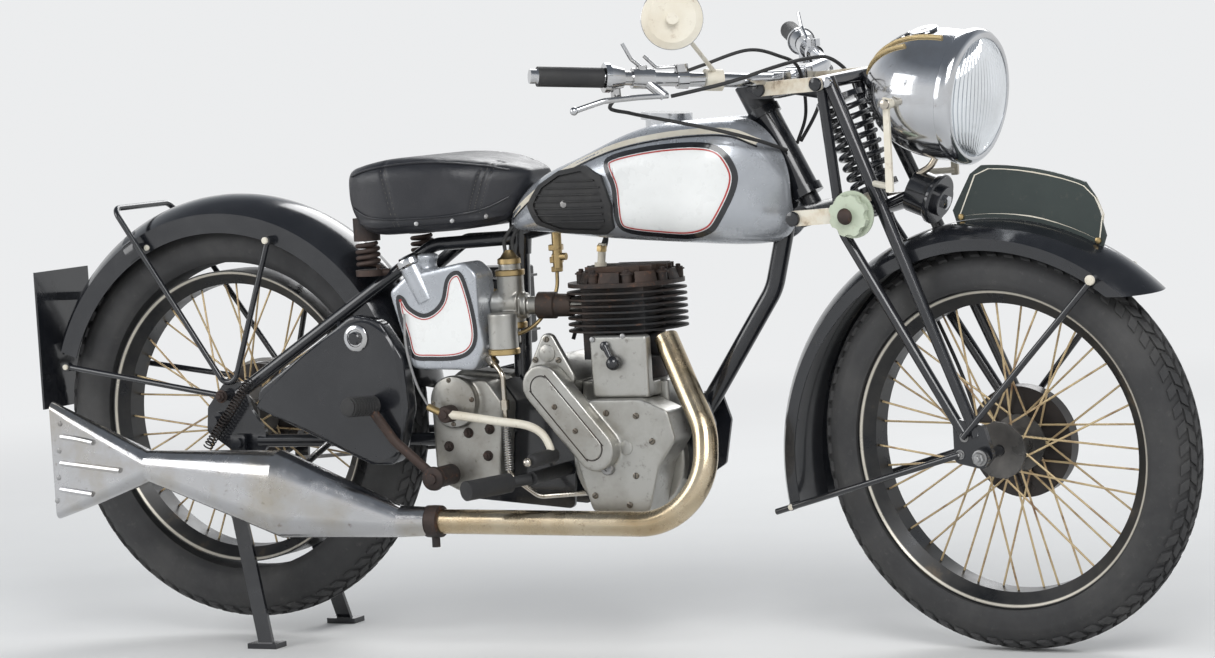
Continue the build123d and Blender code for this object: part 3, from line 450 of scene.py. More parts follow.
def sideBeads(name, tree, side, lines, radius, sink, finish, steps=6):
    # raised cords or ribs that lie on a surface
    paths = [[sideTouch(tree, side, x, z, radius - sink) for x, z in flatPath(line, steps)] for line in lines]
    addPiece(name, *tubeShape(paths, radius, 8), finish)


# a screw's dome as shares of its height and radius, and the dark box along its slot, which is painted shade in the
# slot
screwLook = dict(dome=((0.5, 1), (0.8, 0.9), (1, 0.55), (1.02, 0.1)), slotReach=0.82, slotWidth=0.13, slotFrom=0.7,
                 firstTurn=0.6, turnStep=1.1)


def screws(name, places, finish, segments=24, slotShadeFinish=None, body="chassis"):
    # places: (point, direction, head radius, head height); a low dome, and where a finish for the slot is given, a
    # dark box standing up through the dome along its slot: painted shade in the slot
    look = screwLook
    verts, faces = [], []
    slotShadeVerts, slotShadeFaces = [], []
    for index, (point, way, radius, height) in enumerate(places):
        profile = [(-1, radius * 0.98)] + [(height * up, radius * wide) for up, wide in look["dome"]]
        latheInto(verts, faces, point, way, profile, segments)
        out = way.normalized()
        turn = look["firstTurn"] + look["turnStep"] * index
        turned = Matrix.Rotation(turn, 3, out) @ out.orthogonal().normalized()
        along = turned * radius * look["slotReach"]
        across = out.cross(turned) * radius * look["slotWidth"]
        first = len(slotShadeVerts)
        for rise in (height * look["slotFrom"], height * 1.03 + 0.15):
            for u, v in ((-1, -1), (1, -1), (1, 1), (-1, 1)):
                slotShadeVerts.append(point + (out * rise + along * u + across * v) * mm)
        slotShadeFaces += [(first + k, first + (k + 1) % 4, first + 4 + (k + 1) % 4, first + 4 + k) for k in range(4)]
        slotShadeFaces += [(first + 4, first + 5, first + 6, first + 7), (first + 3, first + 2, first + 1, first)]
    if slotShadeFinish:
        addPiece(name + "Slots", slotShadeVerts, slotShadeFaces, slotShadeFinish, body)
    addPiece(name, verts, faces, finish, body)


# screws whose slots are painted dark in the iron colour: painted shade in the slots
def slottedScrews(name, places):
    screws(name, places, "darkSteel", slotShadeFinish="iron")


nutLook = dict(washer=1.25, washerHeight=1.2, chamferFrom=0.85, chamfer=0.82, stud=0.5, studHeight=3)


def hexNuts(name, places, finish, body="chassis"):
    # places: (point, direction, radius, height); a washer, a six-sided nut and a stud end
    look = nutLook
    verts, faces = [], []
    for point, way, radius, height in places:
        washer, stud, studEnd = radius * look["washer"], radius * look["stud"], height + look["studHeight"]
        for profile, segments in (
            ([(-1, washer), (look["washerHeight"], washer), (1.4, radius * 1.2)], 24),
            ([(1, radius), (height * look["chamferFrom"], radius), (height, radius * look["chamfer"])], 6),
            ([(height - 1, stud), (studEnd, stud), (studEnd + 1, radius * 0.35)], 14),
        ):
            latheInto(verts, faces, point, way, profile, segments)
    addPiece(name, verts, faces, finish, body, sharp=25)


# tyres: walls with fine rings and blocks round the crown
tyreLook = dict(blockHeight=4.5, rows=66, columns=(-27, -14, 0, 14, 27), blockAcross=11, blockAlong=0.72,
                blockLean=0.16, blockSteps=((-1.5, 1), (3.9, 0.94), (4.4, 0.82)), wallRings=(0.52, 0.6, 0.86),
                ringHeight=0.9, footRadius=251.5, wallSteps=44, around=144)


def treadTyre(name, node, centre, axle, radius, halfWidth, beadHalf, body):
    look = tyreLook
    crown = radius - look["blockHeight"] - halfWidth
    out = axle.orthogonal().normalized()
    side = axle.cross(out)
    beadTurn = math.pi - math.asin(beadHalf / halfWidth)

    def tyrePlace(turn, r, y):
        return centre + spoke(out, side, turn, r) + axle * y * mm

    section = []
    for i in range(look["wallSteps"] + 1):
        turn = -beadTurn + 2 * beadTurn * i / look["wallSteps"]
        share = abs(turn) / beadTurn
        lift = sum(look["ringHeight"] for place in look["wallRings"] if abs(share - place) < 0.012)
        reach = halfWidth - 0.4 + lift
        section.append((reach * math.sin(turn), max(crown + reach * math.cos(turn), look["footRadius"])))
    around, count = look["around"], len(section)
    verts = [tyrePlace(2 * math.pi * i / around, r, y) for i in range(around) for y, r in section]
    faces = []
    for i in range(around):
        here, ahead = i * count, (i + 1) % around * count
        for k in range(count):
            j = (k + 1) % count
            faces.append((here + k, ahead + k, ahead + j, here + j))
    pitch = 2 * math.pi / look["rows"]
    for row in range(look["rows"]):
        for column, y in enumerate(look["columns"]):
            middle = (row + column % 2 / 2) * pitch
            length = look["blockAlong"] if abs(y) < 20 else look["blockAlong"] * 0.8
            base = len(verts)
            for level, shrink in look["blockSteps"]:
                for along, across in ((-1, -1), (1, -1), (1, 1), (-1, 1)):
                    lean = look["blockLean"] * across * (1 if column % 2 else -1)
                    turn = middle + (along * length / 2 + lean) * pitch * shrink
                    offset = y + across * look["blockAcross"] / 2 * shrink
                    bend = math.asin(max(-1, min(1, offset / halfWidth)))
                    r = min(crown + (halfWidth + level) * math.cos(bend), radius - 0.1)
                    verts.append(tyrePlace(turn, r, (halfWidth + level) * math.sin(bend)))
            for level in (base, base + 4):
                for k in range(4):
                    a, b = level + k, level + (k + 1) % 4
                    faces.append((a, b, b + 4, a + 4))
            faces.append((base + 8, base + 9, base + 10, base + 11))
    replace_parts(addPiece(name, verts, faces, "tyreRubber", body, sharp=32), node)


frontAxle = front(1395, 0, -60.5)
frontAxleWay = frontWay(0, 1, 0)
leftWay = Vector((0, 1, 0))
treadTyre("frontTread", "front_tyre", frontAxle, frontAxleWay, 320, 44, 37, "front_wheel")
treadTyre("rearTread", "rear_tyre", at(0, 0, 0), leftWay, 350, 47, 32, "rear_wheel")
print("tyres made")


def vectorMath(mat, operation, first, second, output=0):
    return newNode(mat, "VectorMath", {0: first, 1: second}, operation=operation).outputs[output]


def plainMath(mat, operation, first, second=0):
    return newNode(mat, "Math", {0: first, 1: second}, operation=operation).outputs[0]


# each wheel is one piece in the frame, so its colours follow the distance from its axle
wheelLook = dict(
    hubEdge=46, rimEdge=226, lineFrom=244.5, lineTo=248, drumFrom=34.5, line=(0.62, 0.58, 0.5),
    spokes=[(0.35, (0.56, 0.44, 0.25)), (0.55, (0.46, 0.34, 0.19)), (0.7, (0.22, 0.13, 0.07))],
    rim=[(0.35, (0.01, 0.011, 0.013)), (0.62, (0.03, 0.029, 0.028)), (0.75, (0.1, 0.075, 0.05))],
    hub=[(0.35, (0.07, 0.068, 0.065)), (0.65, (0.16, 0.15, 0.14))],
    drum=((0.014, 0.014, 0.015), (0.055, 0.045, 0.04)), gloss=(0.22, 0.48), metal=0.35,
)


def wheelMaterial(name, centre, axle):
    look = wheelLook
    mat, shader = newMaterial(name)
    offset = vectorMath(mat, "SUBTRACT", objectPlace(mat), centre)
    along = vectorMath(mat, "DOT_PRODUCT", offset, axle, "Value")
    square = vectorMath(mat, "DOT_PRODUCT", offset, offset, "Value")
    radius = plainMath(mat, "SQRT", plainMath(mat, "SUBTRACT", square, plainMath(mat, "MULTIPLY", along, along)))
    scaled = plainMath(mat, "MULTIPLY", radius, 4)

    def past(*edges):
        # changes between black and white within a millimetre at each radius
        return greyRamp(mat, scaled,
                        *((4 * mm * (edge + step), (k + step + 0.5) % 2) for k, edge in enumerate(edges)
                          for step in (-0.5, 0.5)))

    patches = noise(mat, 14, 6, 0.6)
    lined = mixColours(mat, past(look["lineFrom"], look["lineTo"]), ramp(mat, patches, look["rim"]), look["line"])
    spokeColour = ramp(mat, noise(mat, 30, 4, 0.6), look["spokes"])
    colour = mixColours(mat, past(look["hubEdge"]), ramp(mat, patches, look["hub"]), spokeColour)
    onDrum = plainMath(mat, "GREATER_THAN", along, look["drumFrom"] * mm)
    colour = mixColours(mat, onDrum, colour, mixColours(mat, patches, *look["drum"]))
    feed(mat, mixColours(mat, past(look["rimEdge"]), colour, lined), shader.inputs["Base Color"])
    shader.inputs["Metallic"].default_value = look["metal"]
    gloss = greyRamp(mat, patches, (0.3, look["gloss"][0]), (0.75, look["gloss"][1]))
    feed(mat, gloss, shader.inputs["Roughness"])
    bump(mat, noise(mat, 260, 4), 0.08, 0.0005)
    return mat


repaint("front_wheel_spokes", wheelMaterial("frontWheelColours", frontAxle, frontAxleWay))
repaint("rear_wheel_spokes", wheelMaterial("rearWheelColours", at(0, 0, 0), leftWay))

# the fork links are one piece too: cream arms on the outside, black spindles and lugs between them
linkLook = dict(
    armFrom=70.5, gloss=(0.2, 0.45),
    cream=[(0.4, finishes["creamPaint"]["colour"]), (0.6, (0.58, 0.5, 0.38)), (0.72, (0.18, 0.11, 0.07))],
    black=[(0.4, finishes["blackEnamel"]["colour"]), (0.66, (0.03, 0.03, 0.032)), (0.78, (0.1, 0.07, 0.05))],
)


def linkMaterial():
    mat, shader = newMaterial("linkColours")
    offset = vectorMath(mat, "SUBTRACT", objectPlace(mat), steeringFoot)
    across = vectorMath(mat, "DOT_PRODUCT", offset, frontAxleWay, "Value")
    outside = plainMath(mat, "GREATER_THAN", plainMath(mat, "ABSOLUTE", across), linkLook["armFrom"] * mm)
    wear = noise(mat, 34, 6, 0.65)
    black, cream = (ramp(mat, wear, linkLook[key]) for key in ("black", "cream"))
    feed(mat, mixColours(mat, outside, black, cream), shader.inputs["Base Color"])
    gloss = greyRamp(mat, wear, (0.3, linkLook["gloss"][0]), (0.75, linkLook["gloss"][1]))
    feed(mat, gloss, shader.inputs["Roughness"])
    bump(mat, noise(mat, 240, 4), 0.08, 0.0005)
    return mat


repaint("fork_links", linkMaterial())


def applyModifiers(piece):
    graph = bpy.context.evaluated_depsgraph_get()
    mesh = bpy.data.meshes.new_from_object(piece.evaluated_get(graph))
    piece.modifiers.clear()
    piece.data = mesh


def evenCopy(name, node, grid, passes):
    # a copy of a frame piece with an even net of faces and softened edges
    piece = bpy.data.objects.new(name, bpy.data.objects[node].data.copy())
    scene.collection.objects.link(piece)
    even = piece.modifiers.new("even", "REMESH")
    even.mode = "VOXEL"
    even.voxel_size = grid * mm
    soften = piece.modifiers.new("soften", "SMOOTH")
    soften.factor = 0.5
    soften.iterations = passes
    applyModifiers(piece)
    return piece


def standIn(piece, node, finish):
    coat(piece.data, finish)
    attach(piece, "chassis")
    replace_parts(piece, node)
    return meshTree(piece)


# saddle: stuffed leather over its pan, with seams, a valance strip and rivets
saddleLook = dict(grid=6, passes=4, pressure=0.5, frames=20, stiffness=14, fill=0.75, heldRim=0.02, valanceTop=334,
                  valanceSwell=2.0, seamDepth=0.0022, seamReach=7)
seamLines = [
    [(375, 422), (381, 395), (388, 365), (395, 330), (397, 316)],
    [(543, 416), (536, 392), (529, 366), (524, 346), (521, 332)],
    [(551, 414), (544, 392), (537, 366), (531, 346), (528, 332)],
]


def stuff(cover, look):
    low = min(v.co.z for v in cover.data.vertices)
    held = cover.vertex_groups.new(name="held")
    for v in cover.data.vertices:
        if v.co.z < low + look["heldRim"] or v.normal.z < -0.75:
            held.add([v.index], 1, "REPLACE")
    cloth = cover.modifiers.new("stuffing", "CLOTH")
    cloth.settings.use_pressure = True
    cloth.settings.uniform_pressure_force = look["pressure"]
    cloth.settings.tension_stiffness = look["stiffness"]
    cloth.settings.compression_stiffness = look["stiffness"]
    cloth.settings.vertex_group_mass = "held"
    cloth.settings.effector_weights.gravity = 0
    cloth.point_cache.frame_start = 1
    cloth.point_cache.frame_end = look["frames"]
    for frameNumber in range(1, look["frames"] + 1):
        scene.frame_set(frameNumber)
    applyModifiers(cover)
    scene.frame_set(1)


def nearLine(x, z, line):
    best = 1e9
    for (x1, z1), (x2, z2) in zip(line, line[1:]):
        run = Vector((x2 - x1, z2 - z1))
        t = max(0, min(1, ((x - x1) * run.x + (z - z1) * run.y) / run.length_squared))
        best = min(best, math.hypot(x - x1 - run.x * t, z - z1 - run.y * t))
    return best


saddleCover = evenCopy("saddleCover", "saddle", saddleLook["grid"], saddleLook["passes"])
stuff(saddleCover, saddleLook)
saddleMesh = bmesh.new()
saddleMesh.from_mesh(saddleCover.data)
bmesh.ops.subdivide_edges(saddleMesh, edges=saddleMesh.edges, cuts=1, use_grid_fill=True, smooth=0.6)
saddleMesh.normal_update()
for v in saddleMesh.verts:
    here = (v.co - rearAxle) / mm
    if v.normal.z < -0.6:
        continue
    share = min(nearLine(here.x, here.z, line) for line in seamLines) / saddleLook["seamReach"]
    if share < 1 and abs(here.y) > 40:
        v.co -= v.normal * saddleLook["seamDepth"] * (1 - share)
    if here.z < saddleLook["valanceTop"] - 4 and abs(v.normal.z) < 0.7:
        v.co += v.normal * saddleLook["valanceSwell"] * mm * min(1, (saddleLook["valanceTop"] - here.z) / 8)
saddleMesh.to_mesh(saddleCover.data)
saddleMesh.free()
saddleTree = standIn(saddleCover, "saddle", "leather")
pipingLines = [
    [(312, 404), (345, 413), (390, 419), (440, 421), (490, 418), (535, 411), (572, 401)],
    [(314, 352), (350, 336), (400, 332), (450, 332), (500, 335), (540, 342), (572, 358)],
]
stitches = []
for line in seamLines:
    for shift in (-4, 4):
        path = smoothPath([(x + shift, 0, z) for x, z in line], 8)
        for k in range(1, len(path) - 2, 2):
            a, b = path[k], path[k] + (path[k + 1] - path[k]) * 0.75
            stitches.append([(a.x, a.z), (b.x, b.z)])
for side, sideName in sides:
    sideBeads("saddlePiping" + sideName, saddleTree, side, pipingLines, 1.7, 0.5, "leather", 10)
    sideBeads("saddleStitches" + sideName, saddleTree, side, stitches, 0.5, 0.25, "thread", 2)
    rivets = [(sideTouch(saddleTree, side, x, z, -0.5), Vector((0, side, 0.15)), 4.2, 2.4)
              for x, z in ((433, 323), (493, 325), (541, 329))]
    screws("saddleRivets" + sideName, rivets, "steel", 18)
print("saddle stuffed and stitched")

# tank: white side panels with a black edge and a red line, and a cream strip along the top
tankTree = nodeTree("fuel_tank")
panelOutline = flatPath([
    (782, 404), (790, 415), (826, 423), (880, 429), (934, 430), (966, 424), (984, 408), (994, 378), (986, 345),
    (968, 313), (948, 294), (912, 286), (860, 290), (812, 297), (796, 308), (797, 340), (795, 372),
], 6, closed=True)
stripLines = [(574, 348), (620, 378), (680, 412), (740, 437), (800, 455), (870, 466), (940, 470), (985, 466),
              (1020, 448)]
kneeOutline = [(616, 344), (640, 376), (682, 398), (741, 406), (776, 388), (792, 340), (786, 304), (764, 293),
               (675, 297), (631, 312)]


kneeLook = dict(back=617, front=791, rim=13, ribs=9, ribRadius=1.5, low=306, high=392, step=4)


def insideKnee(x, z):
    # whether a rib may lie here, inside the knee pad's rim
    low, high = spanAt(kneeOutline, x)
    return min(z - low, high - z, x - kneeLook["back"], kneeLook["front"] - x) > kneeLook["rim"]


stripDrop = [(x, z - 20) for x, z in flatPath(stripLines, 8)]
stripLine = [(x, z - 7) for x, z in stripDrop]
kneeLines = []
for k in range(kneeLook["ribs"]):
    z = kneeLook["low"] + (kneeLook["high"] - kneeLook["low"]) * k / (kneeLook["ribs"] - 1)
    xs = [x for x in range(626, 786, kneeLook["step"]) if insideKnee(x, z)]
    if len(xs) > 3:
        kneeLines.append([(x, z) for x in xs[::4]] + [(xs[-1], z)])
kneeTree = nodeTree("knee_pads")
for side, sideName in sides:
    sidePatch("tankPanel" + sideName, tankTree, side, panelOutline, 0.5, "whitePaint")
    sideRibbon("tankPanelEdge" + sideName, tankTree, side, panelOutline, 8, 0.9, "blackEnamel")
    sideRibbon("tankPinline" + sideName, tankTree, side, panelOutline, 2.2, 1.1, "redPaint", offset=6.5)
    sideRibbon("tankStrip" + sideName, tankTree, side, stripDrop, 9, 0.5, "creamPaint", closed=False)
    sideRibbon("tankStripLine" + sideName, tankTree, side, stripLine, 2.2, 0.8, "blackEnamel", closed=False)
    sideBeads("kneeRibs" + sideName, kneeTree, side, kneeLines, kneeLook["ribRadius"], 0.4, "rubber", 4)
    screws("kneeScrew" + sideName, [(sideTouch(kneeTree, side, 700, 345, -0.4), Vector((0, side, 0)), 6, 3)],
           "steel")


# castings and tanks with softly rounded edges
roundedPieces = {
    # node: finish, grid size in millimetres, rounding passes
    "oil_tank": ("silverPaint", 2.6, 22),
    "toolbox": ("blackEnamel", 2.8, 12),
    "gearbox": ("alloy", 2.6, 8),
    "timing_cover": ("alloy", 2.4, 8),
    "crankcase": ("alloy", 3.0, 6),
    "magneto": ("alloy", 2.2, 6),
    "tappet_chest": ("alloy", 2.0, 6),
    "carburettor": ("alloy", 1.7, 4),
    "primary_case": ("blackEnamel", 3.2, 8),
}
trees = {node: standIn(evenCopy(node + "Cast", node, grid, passes), node, finish)
         for node, (finish, grid, passes) in roundedPieces.items()}
print("castings rounded")


def seatOn(node, x, z, lift=0, side=-1):
    return sideTouch(trees[node], side, x, z, lift)


def seated(node, places, radius, height):
    return [(seatOn(node, x, z), rightWay, radius, height) for x, z in places]


def plate(name, outline, inner, outer, bevel, finish):
    # a flat plate along x and z between two y values, its outer edge bevelled
    count = len(outline)
    verts, faces = [], []
    shrunk = []
    turning = sum(a[0] * b[1] - b[0] * a[1] for a, b in zip(outline, outline[1:] + outline[:1]))
    for i, (x, z) in enumerate(outline):
        ahead, behind = outline[(i + 1) % count], outline[i - 1]
        run = Vector((ahead[0] - behind[0], ahead[1] - behind[1])).normalized()
        inward = Vector((-run.y, run.x)) if turning > 0 else Vector((run.y, -run.x))
        shrunk.append((x + inward.x * bevel, z + inward.y * bevel))
    step = bevel if outer > inner else -bevel
    for ring, y in ((outline, inner), (outline, outer - step), (shrunk, outer)):
        verts.extend(at(x, y, z) for x, z in ring)
    ringFaces(faces, 0, 3, count)
    piece = addPiece(name, verts, faces, finish)
    shape = bmesh.new()
    shape.from_mesh(piece.data)
    bmesh.ops.recalc_face_normals(shape, faces=shape.faces)
    shape.to_mesh(piece.data)
    shape.free()


def capsule(a, b, radius, steps=12):
    start = math.atan2(b[1] - a[1], b[0] - a[0])
    turns = [math.pi * k / steps for k in range(steps + 1)]
    return [(c[0] + radius * math.cos(first + turn), c[1] + radius * math.sin(first + turn))
            for c, first in ((b, start - math.pi / 2), (a, start + math.pi / 2)) for turn in turns]


# oil tank: white panel with a black edge and a red line
oilPanel = flatPath([
    (384, 202), (386, 176), (396, 140), (406, 106), (440, 101), (486, 102), (512, 112), (524, 134), (522, 170),
    (514, 208), (504, 236), (492, 240), (478, 228), (468, 196), (450, 178), (428, 172), (404, 184), (393, 200),
], 5, closed=True)
sidePatch("oilPanel", trees["oil_tank"], -1, oilPanel, 0.4, "whitePaint", 60, 16)
sideRibbon("oilPanelEdge", trees["oil_tank"], -1, oilPanel, 7, 0.7, "blackEnamel")
sideRibbon("oilPinline", trees["oil_tank"], -1, oilPanel, 1.8, 0.9, "redPaint", offset=-6)
neckFoot, neckTop = at(432, -108, 196), at(406, -112, 254)
neckWay = neckTop - neckFoot
lathe("oilNeck", neckFoot, neckWay, [(0, 20), (58, 20), (62, 19)], "silverPaint", 40)
lathe("oilCap", neckTop, neckWay, [(0, 21), (2, 23), (10, 23), (12, 22), (14, 17), (17, 15), (18, 5)], "chrome", 40)

# engine: cover plates, screws, plug lead, valve lifter
magStart, magEnd = (650, 53), (734, -46)
magY = seatOn("timing_cover", 694, 3).y / mm
plate("magPanel", capsule(magStart, magEnd, 18), magY + 2, magY - 1.4, 0.8, "alloy")
tube("magGroove", [at(x, magY, z) for x, z in capsule(magStart, magEnd, 19.2)], 0.9, "iron", 8, 2, True)
slottedScrews("magScrews", [(at(x, magY - 1.4, z), rightWay, 4.6, 2.4) for x, z in ((673, 22), (708, -17))])
plateScrews = [(647, 128), (625, 95), (667, 94)]
slottedScrews("magPlateScrews", seated("magneto", plateScrews, 5, 3))
lathe("magBoss", seatOn("magneto", 647, 105, -2), rightWay, [(0, 15), (4, 14), (5, 12), (6, 4)], "alloy", 32)
timingScrews = [(750, 8), (803, 3), (829, -38), (797, -93), (783, -140), (722, -125)]
slottedScrews("timingScrews", seated("timing_cover", timingScrews, 5.2, 3))
lathe("timingPlug", seatOn("timing_cover", 749, -82, -1), rightWay,
      [(0, 11), (4, 10.5), (5.5, 9), (5.6, 4), (3.5, 3.6)], "steel", 30)
lathe("timingBoss", seatOn("timing_cover", 782, -48, -1), rightWay, [(0, 12), (2, 11.5), (3, 9), (3.2, 3)], "alloy",
      36)
screws("chestScrews", seated("tappet_chest", [(712, 129), (777, 129)], 4.6, 3), "steel")
leverTop = seatOn("tappet_chest", 746, 114, 3)
leverBall = seatOn("tappet_chest", 762, 87, 6)
tube("liftLever", [leverTop, leverTop.lerp(leverBall, 0.6) + Vector((0, -0.002, 0)), leverBall],
     lambda s: 5.5 - 2 * s, "blackEnamel", 12)
lathe("liftLeverBoss", leverTop + Vector((0, 0.004, 0)), rightWay, [(0, 8), (6, 7.6), (8, 5), (8.4, 1)],
      "blackEnamel", 24)
lathe("liftLeverBall", leverBall + Vector((0, 0.01, 0)), rightWay, ballProfile(12, 12), "blackEnamel", 24)
tube("plugLead",
     [at(717, -30, 270), at(722, -26, 286), at(712, -4, 290), at(690, 30, 262), at(640, 46, 180), at(628, 20, 116)],
     3.4, "rubber", 10)
lathe("plugCap", at(715, -30, 262), Vector((0.1, 0, 1)), [(0, 8.5), (9, 8.5), (12, 6), (13, 1)], "brass", 6)
headLook = dict(middle=(750, -3), ring=79, top=227, count=8, nutRadius=8.2, nutHeight=4)
headNuts = []
for k in range(headLook["count"]):
    turn = 2 * math.pi * (k + 0.5) / headLook["count"]
    place = at(headLook["middle"][0] + headLook["ring"] * math.cos(turn),
               headLook["middle"][1] + headLook["ring"] * math.sin(turn), headLook["top"])
    headNuts.append((place, upWay, headLook["nutRadius"], headLook["nutHeight"]))
hexNuts("headNutTops", headNuts, "rustyIron")

# carburettor rings, petrol tap and pipes
verts, faces = [], []
for z, low, high in ((229, 22.6, 24.5), (143, 22.6, 24), (104, 24.4, 26)):
    x, y = (566, -106) if z == 104 else (560, -60)
    latheInto(verts, faces, at(x, y, z), upWay, [(0, low), (1.5, high), (9, high), (10.5, low)], 36)
latheInto(verts, faces, at(529, -60, 182), -forwardWay, [(0, 24.5), (1.5, 27), (10, 27), (12, 23)], 36)
addPiece("carbRings", verts, faces, "brass")
lathe("carbCap", at(560, -60, 249), upWay, [(0, 19.5), (8, 19), (11, 14), (20, 8), (22, 7)], "brass", 30)
lathe("inletCollar", at(606, -53, 179), Vector((1, 0.12, -0.03)),
      [(0, 19), (1, 22), (30, 22), (32, 19), (60, 18.5)], "iron", 32)
verts, faces = [], []
for z, size, tall in ((276, 13, 10), (256, 12, 10), (240, 10, 9)):
    profile = [(0, size * 0.9), (1, size), (tall - 1, size), (tall, size * 0.9)]
    latheInto(verts, faces, at(632, -30, z), -upWay, profile, 6)
addPiece("tapNuts", verts, faces, "brass")
tube("petrolPipe",
     [at(632, -30, 236), at(628, -34, 196), at(604, -60, 150), at(578, -100, 134), at(568, -106, 150)], 3.2,
     "brass", 10)
addPiece("oilPipeSleeve", *coilShape(at(562, -106, -12), at(562, -106, -84), 6.6, 1.2, 18), "steel")
for name, start in (("throttleTail", (556, -64, 268)), ("airTail", (566, -56, 266))):
    tube(name, [at(*start), at(start[0] + 2, start[1], 292), at(start[0] + 26, -48, 316),
                at(start[0] + 90, -30, 318)], 3.2, "rubber", 10)

# gearbox cover, levers and rubbers
coverLook = dict(middle=(461, 27), screwRing=36, screwTurns=(0.1, 1.7, 3.2, 4.7))
coverPlace = seatOn("gearbox", *coverLook["middle"], -2)
lathe("gearCover", coverPlace, rightWay, [(0, 43), (5, 43), (8, 41), (10, 34), (11.5, 20), (12, 2)], "alloy", 48)
coverScrews = [(coverLook["screwRing"] * math.cos(t), coverLook["screwRing"] * math.sin(t))
               for t in coverLook["screwTurns"]]
slottedScrews("gearCoverScrews", [(coverPlace + Vector((x, -8, z)) * mm, rightWay, 4.4, 3) for x, z in coverScrews])
hexNuts("gearNuts", seated("gearbox", [(512, -64), (518, -20), (478, -26), (440, -48)], 7, 7), "rustyIron")
armLine = [(459, -121, 9), (491, -123, 6), (554, -127, -2), (611, -131, -9), (640, -134, -22), (655, -138, -42),
           (657, -138, -56)]
gearArm = tube("gearArm", [at(*place) for place in armLine], lambda s: 7.4 - 1.2 * s, "creamPaint", 14)
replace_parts(gearArm, "gear_lever")
lathe("gearArmBoss", at(459, -95, 9), rightWay, [(0, 14), (30, 14), (33, 12), (34, 7), (38, 6.5), (39, 2)],
      "rustyIron", 28)
lathe("gearPedal", at(658, -128, -57), Vector((-10, -50, -3)), [(0, 10), (2, 11.5), (58, 11.5), (62, 9), (63, 7)],
      "rubber", 28)
lathe("gearPedalEnd", at(645.6, -190, -60.8), Vector((-10, -50, -3)), ballProfile(7, 8), "nickel", 24)
tube("gearAdjuster", [at(428, -124, 22), at(450, -124, 12)], 6, "brass", 12)
tube("gearCable", [at(430, -124, 20), at(412, -130, 60), at(398, -132, 120), at(396, -128, 176)], 2.2, "steel", 8)
rubberLook = dict(ribs=9, pitch=7, groove=14, crest=16.6)
ribs = [(0, 13.2)]
for k in range(rubberLook["ribs"]):
    start = k * rubberLook["pitch"]
    ribs += [(2 + start, rubberLook["groove"]), (3.2 + start, rubberLook["crest"]),
             (6.4 + start, rubberLook["crest"]), (7.6 + start, rubberLook["groove"])]
ribs += [(67, 15), (69, 11), (69.5, 2)]
lathe("kickRubber", at(340, -148, 28), Vector((-12, -62, 4)), ribs, "rubber", 30)
lathe("kickBoss", at(441, -139, -94), rightWay,
      [(0, 19), (4, 20), (10, 19), (12, 15), (12.5, 9), (16, 8.5), (17, 3)], "rustyIron", 32)

# exhaust clamp, silencer ribs and rivets
lathe("exhaustClamp", at(441, -172, -160), forwardWay, [(0, 21), (1, 26), (13, 26.5), (26, 26), (27, 21)],
      "rustyIron", 40)
tube("exhaustClampLug", [at(454, -172, -184), at(454, -172, -202)], 7, "rustyIron", 12)
silencerTree = nodeTree("silencer")
sideBeads("silencerRibs", silencerTree, -1, [
    [(-238, -12), (-205, -16), (-171, -22)],
    [(-242, -57), (-180, -63), (-118, -69)],
    [(-246, -102), (-212, -106), (-179, -110)],
], 4.6, 2.6, "dullChrome")
screws("silencerRivets",
       [(sideTouch(silencerTree, -1, x, z, -0.3), rightWay, 4.6, 2)
        for x, z in ((-246, -36), (-251, -82), (-240, 10), (-258, -122))], "steel")
lidOutline = flatPath([(113, 38), (206, 113), (300, 164), (348, 158), (380, 118), (389, 30), (380, -42), (350, -66),
                       (310, -62), (206, -15), (122, 18)], 8, closed=True)
lidY = seatOn("toolbox", 262, 60).y / mm
plate("toolboxLid", lidOutline, lidY + 3, lidY - 3, 3, "blackEnamel")
lathe("toolboxRing", at(310, lidY - 2, 139), rightWay, [(0, 22), (4, 22), (5.5, 20), (6, 15), (4.5, 14), (4.5, 2)],
      "chrome", 36)
lathe("toolboxKnob", at(310, lidY - 4, 139), rightWay, [(0, 11), (8, 11), (10, 9), (10.5, 2)], "blackEnamel", 8)

# rear guard strap and bolts, stand spring, tail glass
rearTree = nodeTree("rear_guard")
for side, sideName in sides:
    strap = [(-160 - 6 * k, 277 + 10.5 * k) for k in range(8)]
    sideRibbon("guardStrap" + sideName, rearTree, side, strap, 26, 1.4, "blackEnamel", closed=False)
    bolts = [(at(-135, side * 72, 296), 5), (at(112, side * 86, 302), 6), (at(-314, side * 82, 94), 5)]
    screws("guardBolts" + sideName, [(p, Vector((0, side, 0)), r, 4) for p, r in bolts], "creamPaint")
    hexNuts("stayNut" + sideName, [(at(18, side * 107, 42), Vector((0, side, 0)), 9, 8)], "rustyIron")
springLook = dict(top=at(80, -112, 70), foot=at(-13, -112, -43), radius=7.5, wire=1.3, turns=24)
acrossJoint("standSpring", *coilShape(*springLook.values()), "iron", "chassis", "rear_stand", springLook["top"],
            springLook["foot"])
lathe("tailGlass", at(-412, 0, 228), -forwardWay, [(-14, 20.6), (-1, 20.6), (0, 19), (3, 15), (5, 8), (5.6, 1)],
      "redPaint", 36)

# front plate: a pale line near the edge on both faces, with corner bolts; fork and guard bolts
guardMiddle = (1392, -98.5)


def plateRing(radius, angles):
    return [(guardMiddle[0] + radius * math.sin(math.radians(a)),
             guardMiddle[1] + radius * math.cos(math.radians(a))) for a in angles]


def frontPlaces(side, places):
    # places: (x, y, z, radius, height)
    return [(front(x, side * y, z), frontWay(0, side, 0), radius, height) for x, y, z, radius, height in places]


